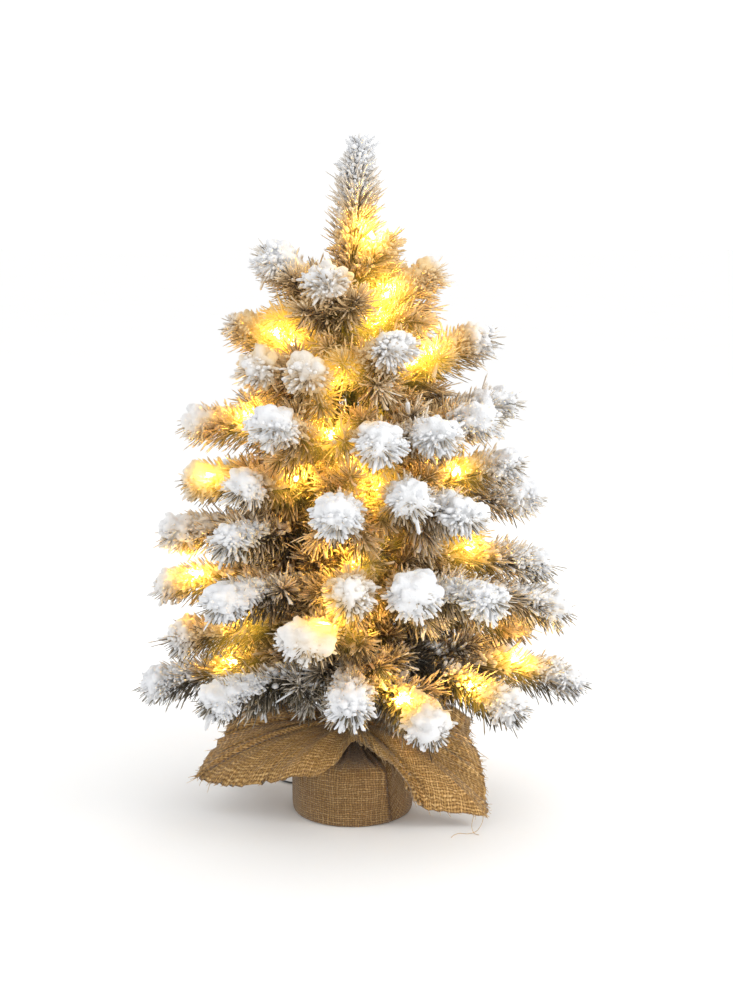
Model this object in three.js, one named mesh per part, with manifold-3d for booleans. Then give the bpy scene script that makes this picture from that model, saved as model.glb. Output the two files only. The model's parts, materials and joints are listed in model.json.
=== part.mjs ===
// Flocked tabletop tree: wire branches on a taped pole, a burlap-wrapped cement base, a light string
// and a three-cell battery box on a thin lead.
// Millimetres, +Z up. Origin: middle of the base's underside. The front of the tree faces -Y.
import * as THREE from 'three';
import { mergeVertices } from 'three/addons/utils/BufferGeometryUtils.js';
import Module from 'manifold-3d';

const wasm = await Module();
wasm.setup();

// ---------------------------------------------------------------- driving dimensions
const TREE_HEIGHT = 610;
const GAP = 0.3; // clearance kept between pieces that touch

const POLE_RADIUS = 3;
const POLE_FOOT = 10.3; // the pole is cast into the cement from here up
const POLE_TOP = 473.7;
const TAPE_RADIUS = 5.2;
const TAPE_FOOT = 92;
const TAPE_TOP = 466;

const DRUM_RADIUS = 55.5; // burlap-wrapped base
const BURLAP = 2.7; // gathered thickness of the wrap round the drum
const SHOULDER_HEIGHT = 50;
const TIE_HEIGHT = 77;
const EAR_THICKNESS = 2.2;

const WEIGHT_RADIUS = DRUM_RADIUS - BURLAP - GAP * 2;
const WEIGHT_TOP = 48;

const KNUCKLE = 1.5; // radius of the rounded wire end that a branch bends at
const ROOT_REACH = TAPE_RADIUS + GAP + KNUCKLE; // pole axis to a branch's pivot
const WIRE_RADIUS = 1.2;
const NEEDLE_RADIUS = 8; // stiff inner part of the needles
const NEEDLE_START = 13; // bare wire next to the pole
const FORK_AT = 0.22; // where a side sprig leaves its branch

const CORD_RADIUS = 0.9;
const BULB_RADIUS = 1.7;

const CASE = { x0: -35, x1: 35, y0: 78, y1: 130, height: 20.4, wall: 1.8 };
const CELL_RADIUS = 7.1;
const CELL_LENGTH = 49.5;

// Branches from the bottom tier up. A tip is [azimuth, reach from the pole, height]: degrees from the
// front, positive towards +X. Branches leave the pole near their tier's root height.
const TIERS = [
  {
    root: 146,
    branches: [
      { tip: [-90, 198, 117] },
      { tip: [-53, 164, 129] },
      { tip: [0, 155, 140] },
      { tip: [30, 150, 111] },
      { tip: [93, 219, 117], side: [60, 174, 117] },
      { tip: [126, 192, 118], side: [152, 172, 110] },
      { tip: [-130, 188, 120], side: [-156, 168, 112] },
    ],
  },
  {
    root: 184,
    branches: [
      { tip: [-14, 162, 197] },
      { tip: [-82, 172, 168] },
      { tip: [110, 182, 158], side: [136, 160, 168] },
    ],
  },
  {
    root: 220,
    branches: [
      { tip: [-95, 184, 208] },
      { tip: [-51, 159, 217] },
      { tip: [0, 158, 234] },
      { tip: [53, 164, 220], side: [22, 154, 234] },
      { tip: [90, 203, 186] },
      { tip: [140, 178, 206], side: [164, 164, 214] },
      { tip: [-134, 178, 210], side: [-160, 162, 204] },
    ],
  },
  {
    root: 258,
    branches: [
      { tip: [-92, 175, 261], side: [-55, 144, 267] },
      { tip: [96, 190, 226] },
      { tip: [-142, 164, 260] },
    ],
  },
  {
    root: 298,
    branches: [
      { tip: [-92, 156, 309], side: [-54, 128, 314] },
      { tip: [-5, 146, 299] },
      { tip: [48, 149, 292], side: [24, 147, 311] },
      { tip: [93, 174, 293], side: [78, 160, 333] },
      { tip: [132, 160, 300], side: [157, 148, 312] },
      { tip: [-120, 158, 304], side: [-148, 146, 316] },
    ],
  },
  {
    root: 342,
    branches: [
      { tip: [-90, 154, 363] },
      { tip: [-38, 123, 373] },
      { tip: [13, 128, 360], side: [41, 132, 364] },
      { tip: [96, 152, 383], side: [66, 139, 374] },
      { tip: [140, 138, 372], side: [164, 124, 380] },
      { tip: [-132, 140, 374], side: [-158, 126, 366] },
    ],
  },
  {
    root: 388,
    branches: [
      { tip: [-92, 112, 456] },
      { tip: [-58, 110, 420], side: [-24, 97, 417] },
      { tip: [24, 98, 441] },
      { tip: [90, 127, 443] },
      { tip: [142, 104, 446] },
      { tip: [-140, 106, 440] },
    ],
  },
  {
    root: 432,
    branches: [
      { tip: [-90, 79, 518] },
      { tip: [-20, 68, 501] },
      { tip: [92, 78, 502] },
      { tip: [150, 66, 508], side: [-158, 60, 500] },
    ],
  },
];
const ROOT_STAGGER = 5; // neighbouring roots of a tier sit this far above and below its height

// Middle line of the battery lead, from the splice on the light string to the battery box.
const LEAD_ROUTE = [
  [0, 17.5, 103.5],
  [0.5, 22.5, 98.5],
  [3, 27.5, 90],
  [7, 32.5, 79],
  [11.5, 39.5, 69],
  [17, 47.5, 60.5],
  [22.5, 53.5, 49],
  [25.5, 55.5, 35],
  [26.8, 54.8, 21],
  [27, 54.6, 10.5],
  [28, 56, 5],
  [30, 58.4, 2.1],
  [32.8, 62, 1.1],
  [33.9, 66.6, 1.1],
  [31.5, 71, 1.1],
  [26.5, 73.2, 1.1],
  [17, 72.8, 1.1],
  [6, 70.4, 1.1],
  [-8, 67, 1.1],
  [-24, 64.5, 1.1],
  [-40, 60.5, 1.1],
  [-51, 58.2, 1.1],
  [-60, 59.4, 1.1],
  [-68, 64.8, 1.1],
  [-74, 73.5, 1.1],
  [-77, 84.5, 1.1],
  [-76, 95.5, 1.1],
  [-70.5, 105, 1.1],
  [-61.5, 109.4, 1.15],
  [-52.5, 107.8, 2.4],
  [-45, 105, 4.8],
  [-39.2, 104, 6],
];

// Burlap ears: each corner of the cloth fans out from the tied neck to its own cut edge.
// neck: the two ends of the fan at the neck; edge: points along the cut edge, through the corner.
const EARS = [
  {
    neck: [[-9, 8, 87], [-6, -11, 82]],
    edge: [[-112, 14, 84], [-118, -2, 82], [-142, -22, 36], [-95, -49, 38], [-62, -52, 50]],
    belly: 9,
  },
  {
    neck: [[6, -11, 82], [10, 6, 87]],
    edge: [[44, -52, 44], [70, -62, 31], [121, -56, 11], [110, -22, 76], [98, 2, 80]],
    belly: 10,
  },
  {
    neck: [[9, 4, 87], [7, 11, 82]],
    edge: [[104, 22, 80], [112, 44, 72], [114, 88, 24], [80, 92, 40], [58, 76, 50]],
    belly: 8,
  },
  {
    neck: [[-6, 11, 82], [-10, 4, 87]],
    edge: [[-56, 78, 50], [-76, 92, 38], [-112, 86, 28], [-112, 50, 70], [-100, 30, 80]],
    belly: 8,
  },
];

// ---------------------------------------------------------------- colours
const finish = (color, roughness, metalness = 0) =>
  new THREE.MeshStandardMaterial({ color, roughness, metalness });
const FLOCKED_NEEDLES = finish(0xc9cfd0, 0.95);
const BURLAP_CLOTH = finish(0xa27a45, 0.95);
const CEMENT = finish(0x9a9890, 0.9);
const STEEL = finish(0xa8abb0, 0.35, 0.9);
const GREEN_TAPE = finish(0x3d4a34, 0.6);
const CLEAR_WIRE = finish(0xdfe3dd, 0.3);
const DARK_WIRE = finish(0x3a3c3e, 0.45);
const JUTE_TWINE = finish(0x8c6a3c, 0.9);
const WHITE_PLASTIC = finish(0xe6e7e4, 0.5);
const DARK_PLASTIC = finish(0x2c2e30, 0.5);
const CIRCUIT_BOARD = finish(0x2f6a3d, 0.5);
const CELL_JACKET = finish(0x5c6066, 0.35, 0.2);
const SPRING_METAL = finish(0xc4c6c8, 0.3, 1);

const tree = new THREE.Group();

function add(name, geometry, material) {
  const mesh = new THREE.Mesh(geometry, material);
  mesh.name = name;
  tree.add(mesh);
  return mesh;
}

// ---------------------------------------------------------------- geometry helpers
function bare(geometry) {
  const copy = geometry.clone();
  copy.deleteAttribute('normal');
  copy.deleteAttribute('uv');
  return mergeVertices(copy, 1e-4);
}

function toSolid(geometry) {
  const merged = bare(geometry);
  return new wasm.Manifold(
    new wasm.Mesh({
      numProp: 3,
      vertProperties: new Float32Array(merged.attributes.position.array),
      triVerts: new Uint32Array(merged.index.array),
    }),
  );
}

function toGeometry(solid) {
  const mesh = solid.getMesh();
  const geometry = new THREE.BufferGeometry();
  geometry.setAttribute('position', new THREE.BufferAttribute(mesh.vertProperties, 3));
  geometry.setIndex(new THREE.BufferAttribute(mesh.triVerts, 1));
  geometry.computeVertexNormals();
  return geometry;
}

const join = (...shapes) => toGeometry(shapes.map(toSolid).reduce((a, b) => a.add(b)));

const cut = (shape, ...tools) =>
  toGeometry(tools.map(toSolid).reduce((left, tool) => left.subtract(tool), toSolid(shape)));

const box = (x0, x1, y0, y1, z0, z1) =>
  new THREE.BoxGeometry(x1 - x0, y1 - y0, z1 - z0).translate((x0 + x1) / 2, (y0 + y1) / 2, (z0 + z1) / 2);

// A turned piece about Z from [radius, height] points.
const turned = (profile, segments) =>
  new THREE.LatheGeometry(profile.map(([r, z]) => new THREE.Vector2(r, z)), segments).rotateX(Math.PI / 2);

// A turned piece's +Z axis laid from one point towards another.
function aim(geometry, from, to) {
  const turn = new THREE.Quaternion().setFromUnitVectors(
    new THREE.Vector3(0, 0, 1),
    to.clone().sub(from).normalize(),
  );
  return geometry.applyQuaternion(turn).translate(from.x, from.y, from.z);
}

// A round cord along a curve.
function cordAlong(curve, radius, sides, steps) {
  const section = new THREE.Shape();
  for (let i = 0; i < sides; i += 1) {
    const angle = (2 * Math.PI * i) / sides;
    const [x, y] = [radius * Math.cos(angle), radius * Math.sin(angle)];
    if (i === 0) section.moveTo(x, y);
    else section.lineTo(x, y);
  }
  section.closePath();
  return new THREE.ExtrudeGeometry(section, { steps, extrudePath: curve, bevelEnabled: false });
}

// A plate of even thickness over a grid of surface points, closed all round.
function plate(rows, thickness) {
  const [nu, nv] = [rows.length, rows[0].length];
  const at = (i, j) => rows[Math.min(Math.max(i, 0), nu - 1)][Math.min(Math.max(j, 0), nv - 1)];
  const positions = [];
  for (const side of [0.5, -0.5]) {
    for (let i = 0; i < nu; i += 1) {
      for (let j = 0; j < nv; j += 1) {
        const along = at(i + 1, j).clone().sub(at(i - 1, j));
        const across = at(i, j + 1).clone().sub(at(i, j - 1));
        const normal = along.cross(across).normalize();
        const point = at(i, j).clone().addScaledVector(normal, side * thickness);
        positions.push(point.x, point.y, point.z);
      }
    }
  }
  const index = [];
  const quad = (a, b, c, d) => index.push(a, b, c, a, c, d);
  const id = (side, i, j) => side * nu * nv + i * nv + j;
  for (let i = 0; i < nu - 1; i += 1) {
    for (let j = 0; j < nv - 1; j += 1) {
      quad(id(0, i, j), id(0, i + 1, j), id(0, i + 1, j + 1), id(0, i, j + 1));
      quad(id(1, i, j), id(1, i, j + 1), id(1, i + 1, j + 1), id(1, i + 1, j));
    }
    quad(id(0, i, 0), id(1, i, 0), id(1, i + 1, 0), id(0, i + 1, 0));
    quad(id(0, i, nv - 1), id(0, i + 1, nv - 1), id(1, i + 1, nv - 1), id(1, i, nv - 1));
  }
  for (let j = 0; j < nv - 1; j += 1) {
    quad(id(0, 0, j), id(0, 0, j + 1), id(1, 0, j + 1), id(1, 0, j));
    quad(id(0, nu - 1, j), id(1, nu - 1, j), id(1, nu - 1, j + 1), id(0, nu - 1, j + 1));
  }
  const geometry = new THREE.BufferGeometry();
  geometry.setAttribute('position', new THREE.Float32BufferAttribute(positions, 3));
  geometry.setIndex(index);
  return geometry;
}

// ---------------------------------------------------------------- base
function baseWeight() {
  const hole = POLE_RADIUS + GAP;
  const bevel = 5;
  return turned(
    [
      [0, BURLAP],
      [WEIGHT_RADIUS, BURLAP],
      [WEIGHT_RADIUS, WEIGHT_TOP - bevel],
      [WEIGHT_RADIUS - bevel, WEIGHT_TOP],
      [hole, WEIGHT_TOP],
      [hole, POLE_FOOT - GAP],
      [0, POLE_FOOT - GAP],
    ],
    40,
  );
}

function drumShell() {
  const inner = DRUM_RADIUS - BURLAP;
  return turned(
    [
      [0, 0],
      [DRUM_RADIUS - 2, 0],
      [DRUM_RADIUS, 2],
      [DRUM_RADIUS, SHOULDER_HEIGHT],
      [DRUM_RADIUS - 5, SHOULDER_HEIGHT + 6.5],
      [32, 65],
      [15, 72.5],
      [12, TIE_HEIGHT],
      [14, 82],
      [18, 88],
      [15.8, 89.5],
      [11.2, 83],
      [9.2, TIE_HEIGHT],
      [12, 70.5],
      [30, 62.5],
      [inner - 5, SHOULDER_HEIGHT + 4.5],
      [inner, SHOULDER_HEIGHT - 1],
      [inner, BURLAP - GAP],
      [0, BURLAP - GAP],
    ],
    32,
  );
}

function ear({ neck, edge, belly }) {
  const rim = new THREE.CatmullRomCurve3(edge.map((p) => new THREE.Vector3(...p)), false, 'centripetal');
  const [first, last] = neck.map((p) => new THREE.Vector3(...p));
  const rows = [];
  const [outward, across] = [5, 8];
  for (let i = 0; i <= outward; i += 1) {
    const u = i / outward;
    const row = [];
    for (let j = 0; j <= across; j += 1) {
      const v = j / across;
      const start = first.clone().lerp(last, v);
      const point = start.lerp(rim.getPoint(v), u);
      point.z += belly * Math.sin(Math.PI * u);
      row.push(point);
    }
    rows.push(row);
  }
  return plate(rows, EAR_THICKNESS);
}

function neckTie() {
  const [ring, radius] = [14.2, 1.3];
  const cord = new THREE.TorusGeometry(ring, radius, 6, 22).translate(0, 0, TIE_HEIGHT);
  const knot = new THREE.SphereGeometry(2.4, 8, 6).translate(0, -ring - 0.8, TIE_HEIGHT);
  return join(cord, knot);
}

add('base_weight', baseWeight(), CEMENT);
add('burlap_wrap', join(drumShell(), ...EARS.map(ear)), BURLAP_CLOTH);
add('neck_tie', neckTie(), JUTE_TWINE);

// ---------------------------------------------------------------- pole
const pole = [
  [0, POLE_FOOT],
  [POLE_RADIUS, POLE_FOOT],
  [POLE_RADIUS, POLE_TOP],
  [0, POLE_TOP],
];
add('trunk_pole', turned(pole, 16), STEEL);

const tape = [
  [POLE_RADIUS + GAP, TAPE_FOOT],
  [TAPE_RADIUS, TAPE_FOOT],
  [TAPE_RADIUS, TAPE_TOP],
  [POLE_RADIUS + GAP, TAPE_TOP],
  [POLE_RADIUS + GAP, TAPE_FOOT],
];
add('trunk_tape', turned(tape, 20), GREEN_TAPE);

// ---------------------------------------------------------------- branches
// The wire and its needles: a slim spindle from the pivot to the needle tips.
function sprig(length, radius, bareWire) {
  return turned(
    [
      [0, -KNUCKLE],
      [KNUCKLE * 0.75, -KNUCKLE * 0.66],
      [KNUCKLE, 0],
      [WIRE_RADIUS, bareWire],
      [radius * 0.6, bareWire + 12],
      [radius, length * 0.5],
      [radius, length - 20],
      [radius * 0.6, length - 5],
      [0, length],
    ],
    7,
  );
}

function place([azimuth, reach, height]) {
  const angle = THREE.MathUtils.degToRad(azimuth);
  return new THREE.Vector3(reach * Math.sin(angle), -reach * Math.cos(angle), height);
}

function branch(rootHeight, { tip, side }) {
  const root = place([tip[0], ROOT_REACH, rootHeight]);
  const end = place(tip);
  const main = aim(sprig(root.distanceTo(end), NEEDLE_RADIUS, NEEDLE_START), root, end);
  if (!side) return main;
  const fork = root.clone().lerp(end, FORK_AT);
  const sideEnd = place(side);
  const shoot = aim(sprig(fork.distanceTo(sideEnd), NEEDLE_RADIUS * 0.9, 3), fork, sideEnd);
  return join(main, shoot);
}

TIERS.forEach(({ root, branches }, tier) => {
  branches.forEach((plan, i) => {
    const rootHeight = root + (i % 2 ? -ROOT_STAGGER : ROOT_STAGGER);
    add(`tier${tier + 1}_branch_${i + 1}`, branch(rootHeight, plan), FLOCKED_NEEDLES);
  });
});

const leaderRoot = new THREE.Vector3(0, 0, POLE_TOP + GAP + KNUCKLE);
const leaderTip = new THREE.Vector3(0, 0, TREE_HEIGHT);
add('top_leader', aim(sprig(TREE_HEIGHT - leaderRoot.z, 9, 12), leaderRoot, leaderTip), FLOCKED_NEEDLES);

// ---------------------------------------------------------------- light string
// The pale wire climbs the back of the pole, in the lane that the branches leave free.
function lightString() {
  const laneY = TAPE_RADIUS + GAP * 2 + CORD_RADIUS;
  const [foot, top] = [113, 462];
  const waves = 12;
  const points = [];
  for (let i = 0; i <= waves * 2; i += 1) {
    const lean = i % 2 ? 0.9 : -0.9;
    points.push(new THREE.Vector3(lean, laneY, foot + ((top - foot) * i) / (waves * 2)));
  }
  const wire = cordAlong(new THREE.CatmullRomCurve3(points), CORD_RADIUS, 6, 48);
  const splice = turned([[0, 0], [1.4, 0], [2.1, 3], [2.1, 13], [1.3, 15], [0, 15]], 8);
  const spliceFoot = new THREE.Vector3(0, 17, 104.2);
  const spliceTop = new THREE.Vector3(0, laneY + 0.6, 116);
  const pieces = [wire, aim(splice, spliceFoot, spliceTop)];
  for (const height of [164, 202, 239, 278, 320, 365, 410, 452]) {
    const bulb = turned([[0, 0], [1.5, 0], [BULB_RADIUS, 5], [1.2, 5.4], [1.2, 8], [0, 9]], 7);
    pieces.push(aim(bulb, new THREE.Vector3(0, laneY, height), new THREE.Vector3(0, laneY + 6, height + 2)));
  }
  return join(...pieces);
}
add('light_string', lightString(), CLEAR_WIRE);

// ---------------------------------------------------------------- battery lead
const leadCurve = new THREE.CatmullRomCurve3(LEAD_ROUTE.map((p) => new THREE.Vector3(...p)));
add('battery_lead', cordAlong(leadCurve, CORD_RADIUS, 8, 76), DARK_WIRE);

// ---------------------------------------------------------------- battery box
const middleY = (CASE.y0 + CASE.y1) / 2;
const GROOVE = { z0: 17, z1: 18.8, depth: 0.9 };
const BAY_WALL = { x0: 22.4, x1: 23.6 };
const SWITCH = { z0: 5.6, z1: 9.2, slot: 8 };
const LEAD_HOLE = { radius: 2.2, y: 104, z: 6 };
const STRIP = 0.5;
const CONTACT_REACH = 1.9;
const wallTop = CASE.wall + GAP;
const leftContact = CASE.x0 + CASE.wall + GAP + STRIP;
const rightContact = BAY_WALL.x0 - GAP - STRIP;
const cellStart = (leftContact + rightContact - CELL_LENGTH) / 2;
const cellY = [-1, 0, 1].map((row) => middleY + row * (CELL_RADIUS * 2 + 1.2));

function batteryCase() {
  const { x0, x1, y0, y1, height, wall } = CASE;
  const outside = box(x0, x1, y0, y1, 0, height);
  const cells = box(x0 + wall, BAY_WALL.x0, y0 + wall, y1 - wall, wall, GROOVE.z0);
  const bay = box(BAY_WALL.x1, x1 - wall, y0 + wall, y1 - wall, wall, GROOVE.z0);
  const [low, rail] = [GROOVE.z0 - 0.01, GROOVE.depth];
  const groove = box(x0 + wall, x1 + 1, y0 + wall - rail, y1 - wall + rail, low, GROOVE.z1);
  const mouth = box(x0 + wall, x1 + 1, y0 + wall + 1, y1 - wall - 1, low, height + 1);
  const half = SWITCH.slot / 2;
  const slot = box(x1 - wall - 1, x1 + 1, middleY - half, middleY + half, SWITCH.z0, SWITCH.z1);
  const leadHole = new THREE.CylinderGeometry(LEAD_HOLE.radius, LEAD_HOLE.radius, 6, 16)
    .rotateZ(Math.PI / 2)
    .translate(x0, LEAD_HOLE.y, LEAD_HOLE.z);
  return cut(outside, cells, bay, groove, mouth, slot, leadHole);
}

function batteryDoor() {
  const { x0, x1, y0, y1, wall } = CASE;
  const edge = GROOVE.depth - GAP;
  const [z0, z1] = [GROOVE.z0 + GAP / 2, GROOVE.z1 - GAP / 2];
  const panel = box(x0 + wall + GAP, x1, y0 + wall - edge, y1 - wall + edge, z0, z1);
  const top = CASE.height;
  const raised = box(x0 + wall + GAP, x1, y0 + wall + 1 + GAP, y1 - wall - 1 - GAP, z1 - 0.1, top);
  const grips = [18, 21.2, 24.4, 27.6].map((x) => box(x, x + 1.4, 94, 114, top - 0.1, top + 0.6));
  return join(panel, raised, ...grips);
}

function batteryCell() {
  const r = CELL_RADIUS;
  return turned(
    [
      [0, 0],
      [r - 0.6, 0],
      [r, 0.6],
      [r, CELL_LENGTH - 2],
      [r - 0.6, CELL_LENGTH - 1.4],
      [2.7, CELL_LENGTH - 1.4],
      [2.7, CELL_LENGTH],
      [0, CELL_LENGTH],
    ],
    18,
  ).rotateY(Math.PI / 2);
}

// A strip of spring steel with a stud or a coil cone in front of each cell.
function contactPlate(x, facing) {
  const back = x - facing * STRIP;
  const strip = box(Math.min(x, back), Math.max(x, back), CASE.y0 + 3, CASE.y1 - 3, 3, 15);
  const studs = cellY.map((y, i) => {
    const foot = (i % 2 === 0) === (facing > 0) ? 4 : 2.4;
    const stud = turned([[0, -0.2], [foot, -0.2], [2.2, CONTACT_REACH], [0, CONTACT_REACH]], 10);
    return stud.rotateY((facing * Math.PI) / 2).translate(x, y, wallTop + CELL_RADIUS);
  });
  return join(strip, ...studs);
}

add('battery_case', batteryCase(), WHITE_PLASTIC);
add('battery_door', batteryDoor(), WHITE_PLASTIC);
cellY.forEach((y, i) => {
  const cell = batteryCell();
  if (i % 2) cell.rotateZ(Math.PI).translate(CELL_LENGTH, 0, 0);
  add(`aa_cell_${i + 1}`, cell.translate(cellStart, y, wallTop + CELL_RADIUS), CELL_JACKET);
});
add('contact_plate_left', contactPlate(leftContact, 1), SPRING_METAL);
add('contact_plate_right', contactPlate(rightContact, -1), SPRING_METAL);

function switchBoard() {
  const board = box(25, 26.4, CASE.y0 + 6, CASE.y1 - 6, 2.4, 15.4);
  const chip = box(26.3, 27.8, middleY + 9, middleY + 15, 5, 11);
  const body = box(26.3, 29.6, middleY - 5.5, middleY + 5.5, 4.4, 10.4);
  return join(board, chip, body);
}
add('switch_board', switchBoard(), CIRCUIT_BOARD);

// The slider's flange stays behind the wall and its thumb stands out through the slot.
function batterySwitch() {
  const inner = CASE.x1 - CASE.wall;
  const [z0, z1] = [SWITCH.z0 - 0.8, SWITCH.z1 + 0.8];
  const flange = box(inner - 2.6, inner - GAP, middleY - 6.5, middleY + 3.5, z0, z1);
  const thumb = box(inner - 1, CASE.x1 + 1.6, middleY - 3.7, middleY - 0.2, SWITCH.z0 + 0.4, SWITCH.z1 - 0.4);
  return join(flange, thumb);
}
add('battery_switch', batterySwitch(), DARK_PLASTIC);

// The grommet's tapered nose takes the lead and its waist sits in the case wall.
const grommetProfile = [[0, 0], [1.5, 0], [2.6, 2.4], [3.3, 2.4], [3.3, 3.4], [1.9, 3.4], [1.9, 5.3], [0, 5.3]];
const grommet = turned(grommetProfile, 10)
  .rotateY(Math.PI / 2)
  .translate(CASE.x0 - 3.4 - GAP, LEAD_HOLE.y, LEAD_HOLE.z);
add('lead_grommet', grommet, DARK_PLASTIC);

export default tree;
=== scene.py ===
# Flocked tabletop tree: needles, flock, lamps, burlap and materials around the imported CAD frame.
# Metres, +Z up, -Y to the front.
import json
import math

import bmesh
import bpy
import numpy as np
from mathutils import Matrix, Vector

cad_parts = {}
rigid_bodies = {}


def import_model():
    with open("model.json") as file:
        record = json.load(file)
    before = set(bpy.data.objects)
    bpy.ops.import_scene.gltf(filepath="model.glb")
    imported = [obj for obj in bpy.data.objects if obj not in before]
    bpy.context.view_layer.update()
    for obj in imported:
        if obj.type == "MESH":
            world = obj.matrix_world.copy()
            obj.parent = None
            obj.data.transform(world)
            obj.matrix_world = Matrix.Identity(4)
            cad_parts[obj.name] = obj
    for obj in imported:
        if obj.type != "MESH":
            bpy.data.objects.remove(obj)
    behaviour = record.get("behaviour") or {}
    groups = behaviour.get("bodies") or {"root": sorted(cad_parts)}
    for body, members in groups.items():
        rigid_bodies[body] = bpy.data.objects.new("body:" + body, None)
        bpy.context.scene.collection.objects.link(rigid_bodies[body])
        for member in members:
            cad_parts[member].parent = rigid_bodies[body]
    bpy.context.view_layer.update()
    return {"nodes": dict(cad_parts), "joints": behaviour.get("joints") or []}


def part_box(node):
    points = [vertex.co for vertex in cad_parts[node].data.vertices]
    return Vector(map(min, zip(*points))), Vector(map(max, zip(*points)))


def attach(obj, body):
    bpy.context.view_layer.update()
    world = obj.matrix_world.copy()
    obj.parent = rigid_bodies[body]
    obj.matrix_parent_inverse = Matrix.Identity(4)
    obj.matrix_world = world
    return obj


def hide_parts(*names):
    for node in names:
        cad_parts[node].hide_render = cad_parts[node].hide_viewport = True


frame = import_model()
MM = 0.001
GOLDEN_ANGLE = math.radians(137.5)


def placed(name, data, at=(0, 0, 0)):
    """A new object in the scene."""
    obj = bpy.data.objects.new(name, data)
    obj.location = at
    bpy.context.scene.collection.objects.link(obj)
    return obj


# ---------------------------------------------------------------- camera
CAMERA_AT = (0.013, -1.40, 0.532)
LOOKS_DOWN = 9.8  # degrees
camera_data = bpy.data.cameras.new("camera")
camera_data.lens, camera_data.sensor_width = 56.6, 36
camera = placed("camera", camera_data, CAMERA_AT)
camera.rotation_euler = (math.radians(90 - LOOKS_DOWN), 0, 0)
bpy.context.scene.camera = camera


# ---------------------------------------------------------------- materials
class Finish:
    """A node material around one Principled shader. Plain values are set on the shader's own sockets."""

    def __init__(self, name, **plain):
        self.material = bpy.data.materials.new(name)
        self.material.use_nodes = True
        self.tree = self.material.node_tree
        self.shader = self.tree.nodes["Principled BSDF"]
        for socket, value in plain.items():
            self.shader.inputs[socket.replace("_", " ")].default_value = value
        self.coords = self.tree.nodes.new("ShaderNodeTexCoord")

    def wire(self, socket, value):
        if isinstance(value, bpy.types.NodeSocket):
            self.tree.links.new(value, socket)
        else:
            socket.default_value = value

    def place(self, stretch=(1, 1, 1), source="Object"):
        node = self.tree.nodes.new("ShaderNodeMapping")
        node.inputs["Scale"].default_value = stretch
        self.tree.links.new(self.coords.outputs[source], node.inputs["Vector"])
        return node.outputs["Vector"]

    def noise(self, scale, detail=3.0, roughness=0.55, vector=None):
        node = self.tree.nodes.new("ShaderNodeTexNoise")
        node.inputs["Scale"].default_value = scale
        node.inputs["Detail"].default_value = detail
        node.inputs["Roughness"].default_value = roughness
        self.wire(node.inputs["Vector"], vector or self.coords.outputs["Object"])
        return node.outputs["Fac"]

    def attribute(self, name):
        node = self.tree.nodes.new("ShaderNodeAttribute")
        node.attribute_name = name
        return node.outputs["Fac"]

    def maths(self, operation, a, b=0.0, clamp=False):
        node = self.tree.nodes.new("ShaderNodeMath")
        node.operation = operation
        node.use_clamp = clamp
        self.wire(node.inputs[0], a)
        self.wire(node.inputs[1], b)
        return node.outputs[0]

    def ramp(self, value, stops):
        node = self.tree.nodes.new("ShaderNodeValToRGB")
        elements = node.color_ramp.elements
        while len(elements) < len(stops):
            elements.new(0.5)
        for element, (position, colour) in zip(elements, stops):
            element.position = position
            element.color = (*colour, 1)
        self.wire(node.inputs[0], value)
        return node.outputs["Color"]

    def spread(self, value, low, high, start=0.0, end=1.0):
        node = self.tree.nodes.new("ShaderNodeMapRange")
        for i, number in enumerate((start, end, low, high)):
            node.inputs[i + 1].default_value = number
        self.wire(node.inputs[0], value)
        return node.outputs[0]

    def mix(self, share, a, b, blend="MIX"):
        node = self.tree.nodes.new("ShaderNodeMix")
        node.data_type = "RGBA"
        node.blend_type = blend
        self.wire(node.inputs[0], share)
        self.wire(node.inputs[6], (*a, 1) if isinstance(a, tuple) else a)
        self.wire(node.inputs[7], (*b, 1) if isinstance(b, tuple) else b)
        return node.outputs[2]

    def show(self, colour=None, roughness=None, bump=None, depth=MM, strength=1.0):
        if colour is not None:
            self.wire(self.shader.inputs["Base Color"], colour)
        if roughness is not None:
            self.wire(self.shader.inputs["Roughness"], roughness)
        if bump is not None:
            node = self.tree.nodes.new("ShaderNodeBump")
            node.inputs["Distance"].default_value = depth
            node.inputs["Strength"].default_value = strength
            self.wire(node.inputs["Height"], bump)
            self.tree.links.new(node.outputs[0], self.shader.inputs["Normal"])
        return self.material


# painted lamplight: the amber tint, and the colour and strength of the painted glow, on flock and needles
# near the lamps
PAINTED_LAMPLIGHT_AMBER, PAINTED_GLOW_COLOUR, PAINTED_GLOW_STRENGTH = (1.0, 0.72, 0.36), (1.0, 0.62, 0.05), 1.15


def with_painted_lamplight(f, colour, near=1.0):
    """Painted lamplight: flock and needles round the lamps are tinted amber in their colour, and the nearest
    get a painted glow by emission, as if the light came through them.
    """
    # painted glow: the flock near a lamp emits light of its own, as much as the attribute "lit" says
    f.shader.inputs["Emission Color"].default_value = (*PAINTED_GLOW_COLOUR, 1)
    f.wire(f.shader.inputs["Emission Strength"], f.spread(f.attribute("lit"), 0, PAINTED_GLOW_STRENGTH))
    f.material.cycles.emission_sampling = "NONE"
    # painted lamplight: the colour is multiplied towards amber as the attribute "glow" rises near a lamp
    share = f.maths("POWER", f.attribute("glow"), near)
    return f.mix(share, colour, f.mix(1.0, colour, PAINTED_LAMPLIGHT_AMBER, "MULTIPLY"))


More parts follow.
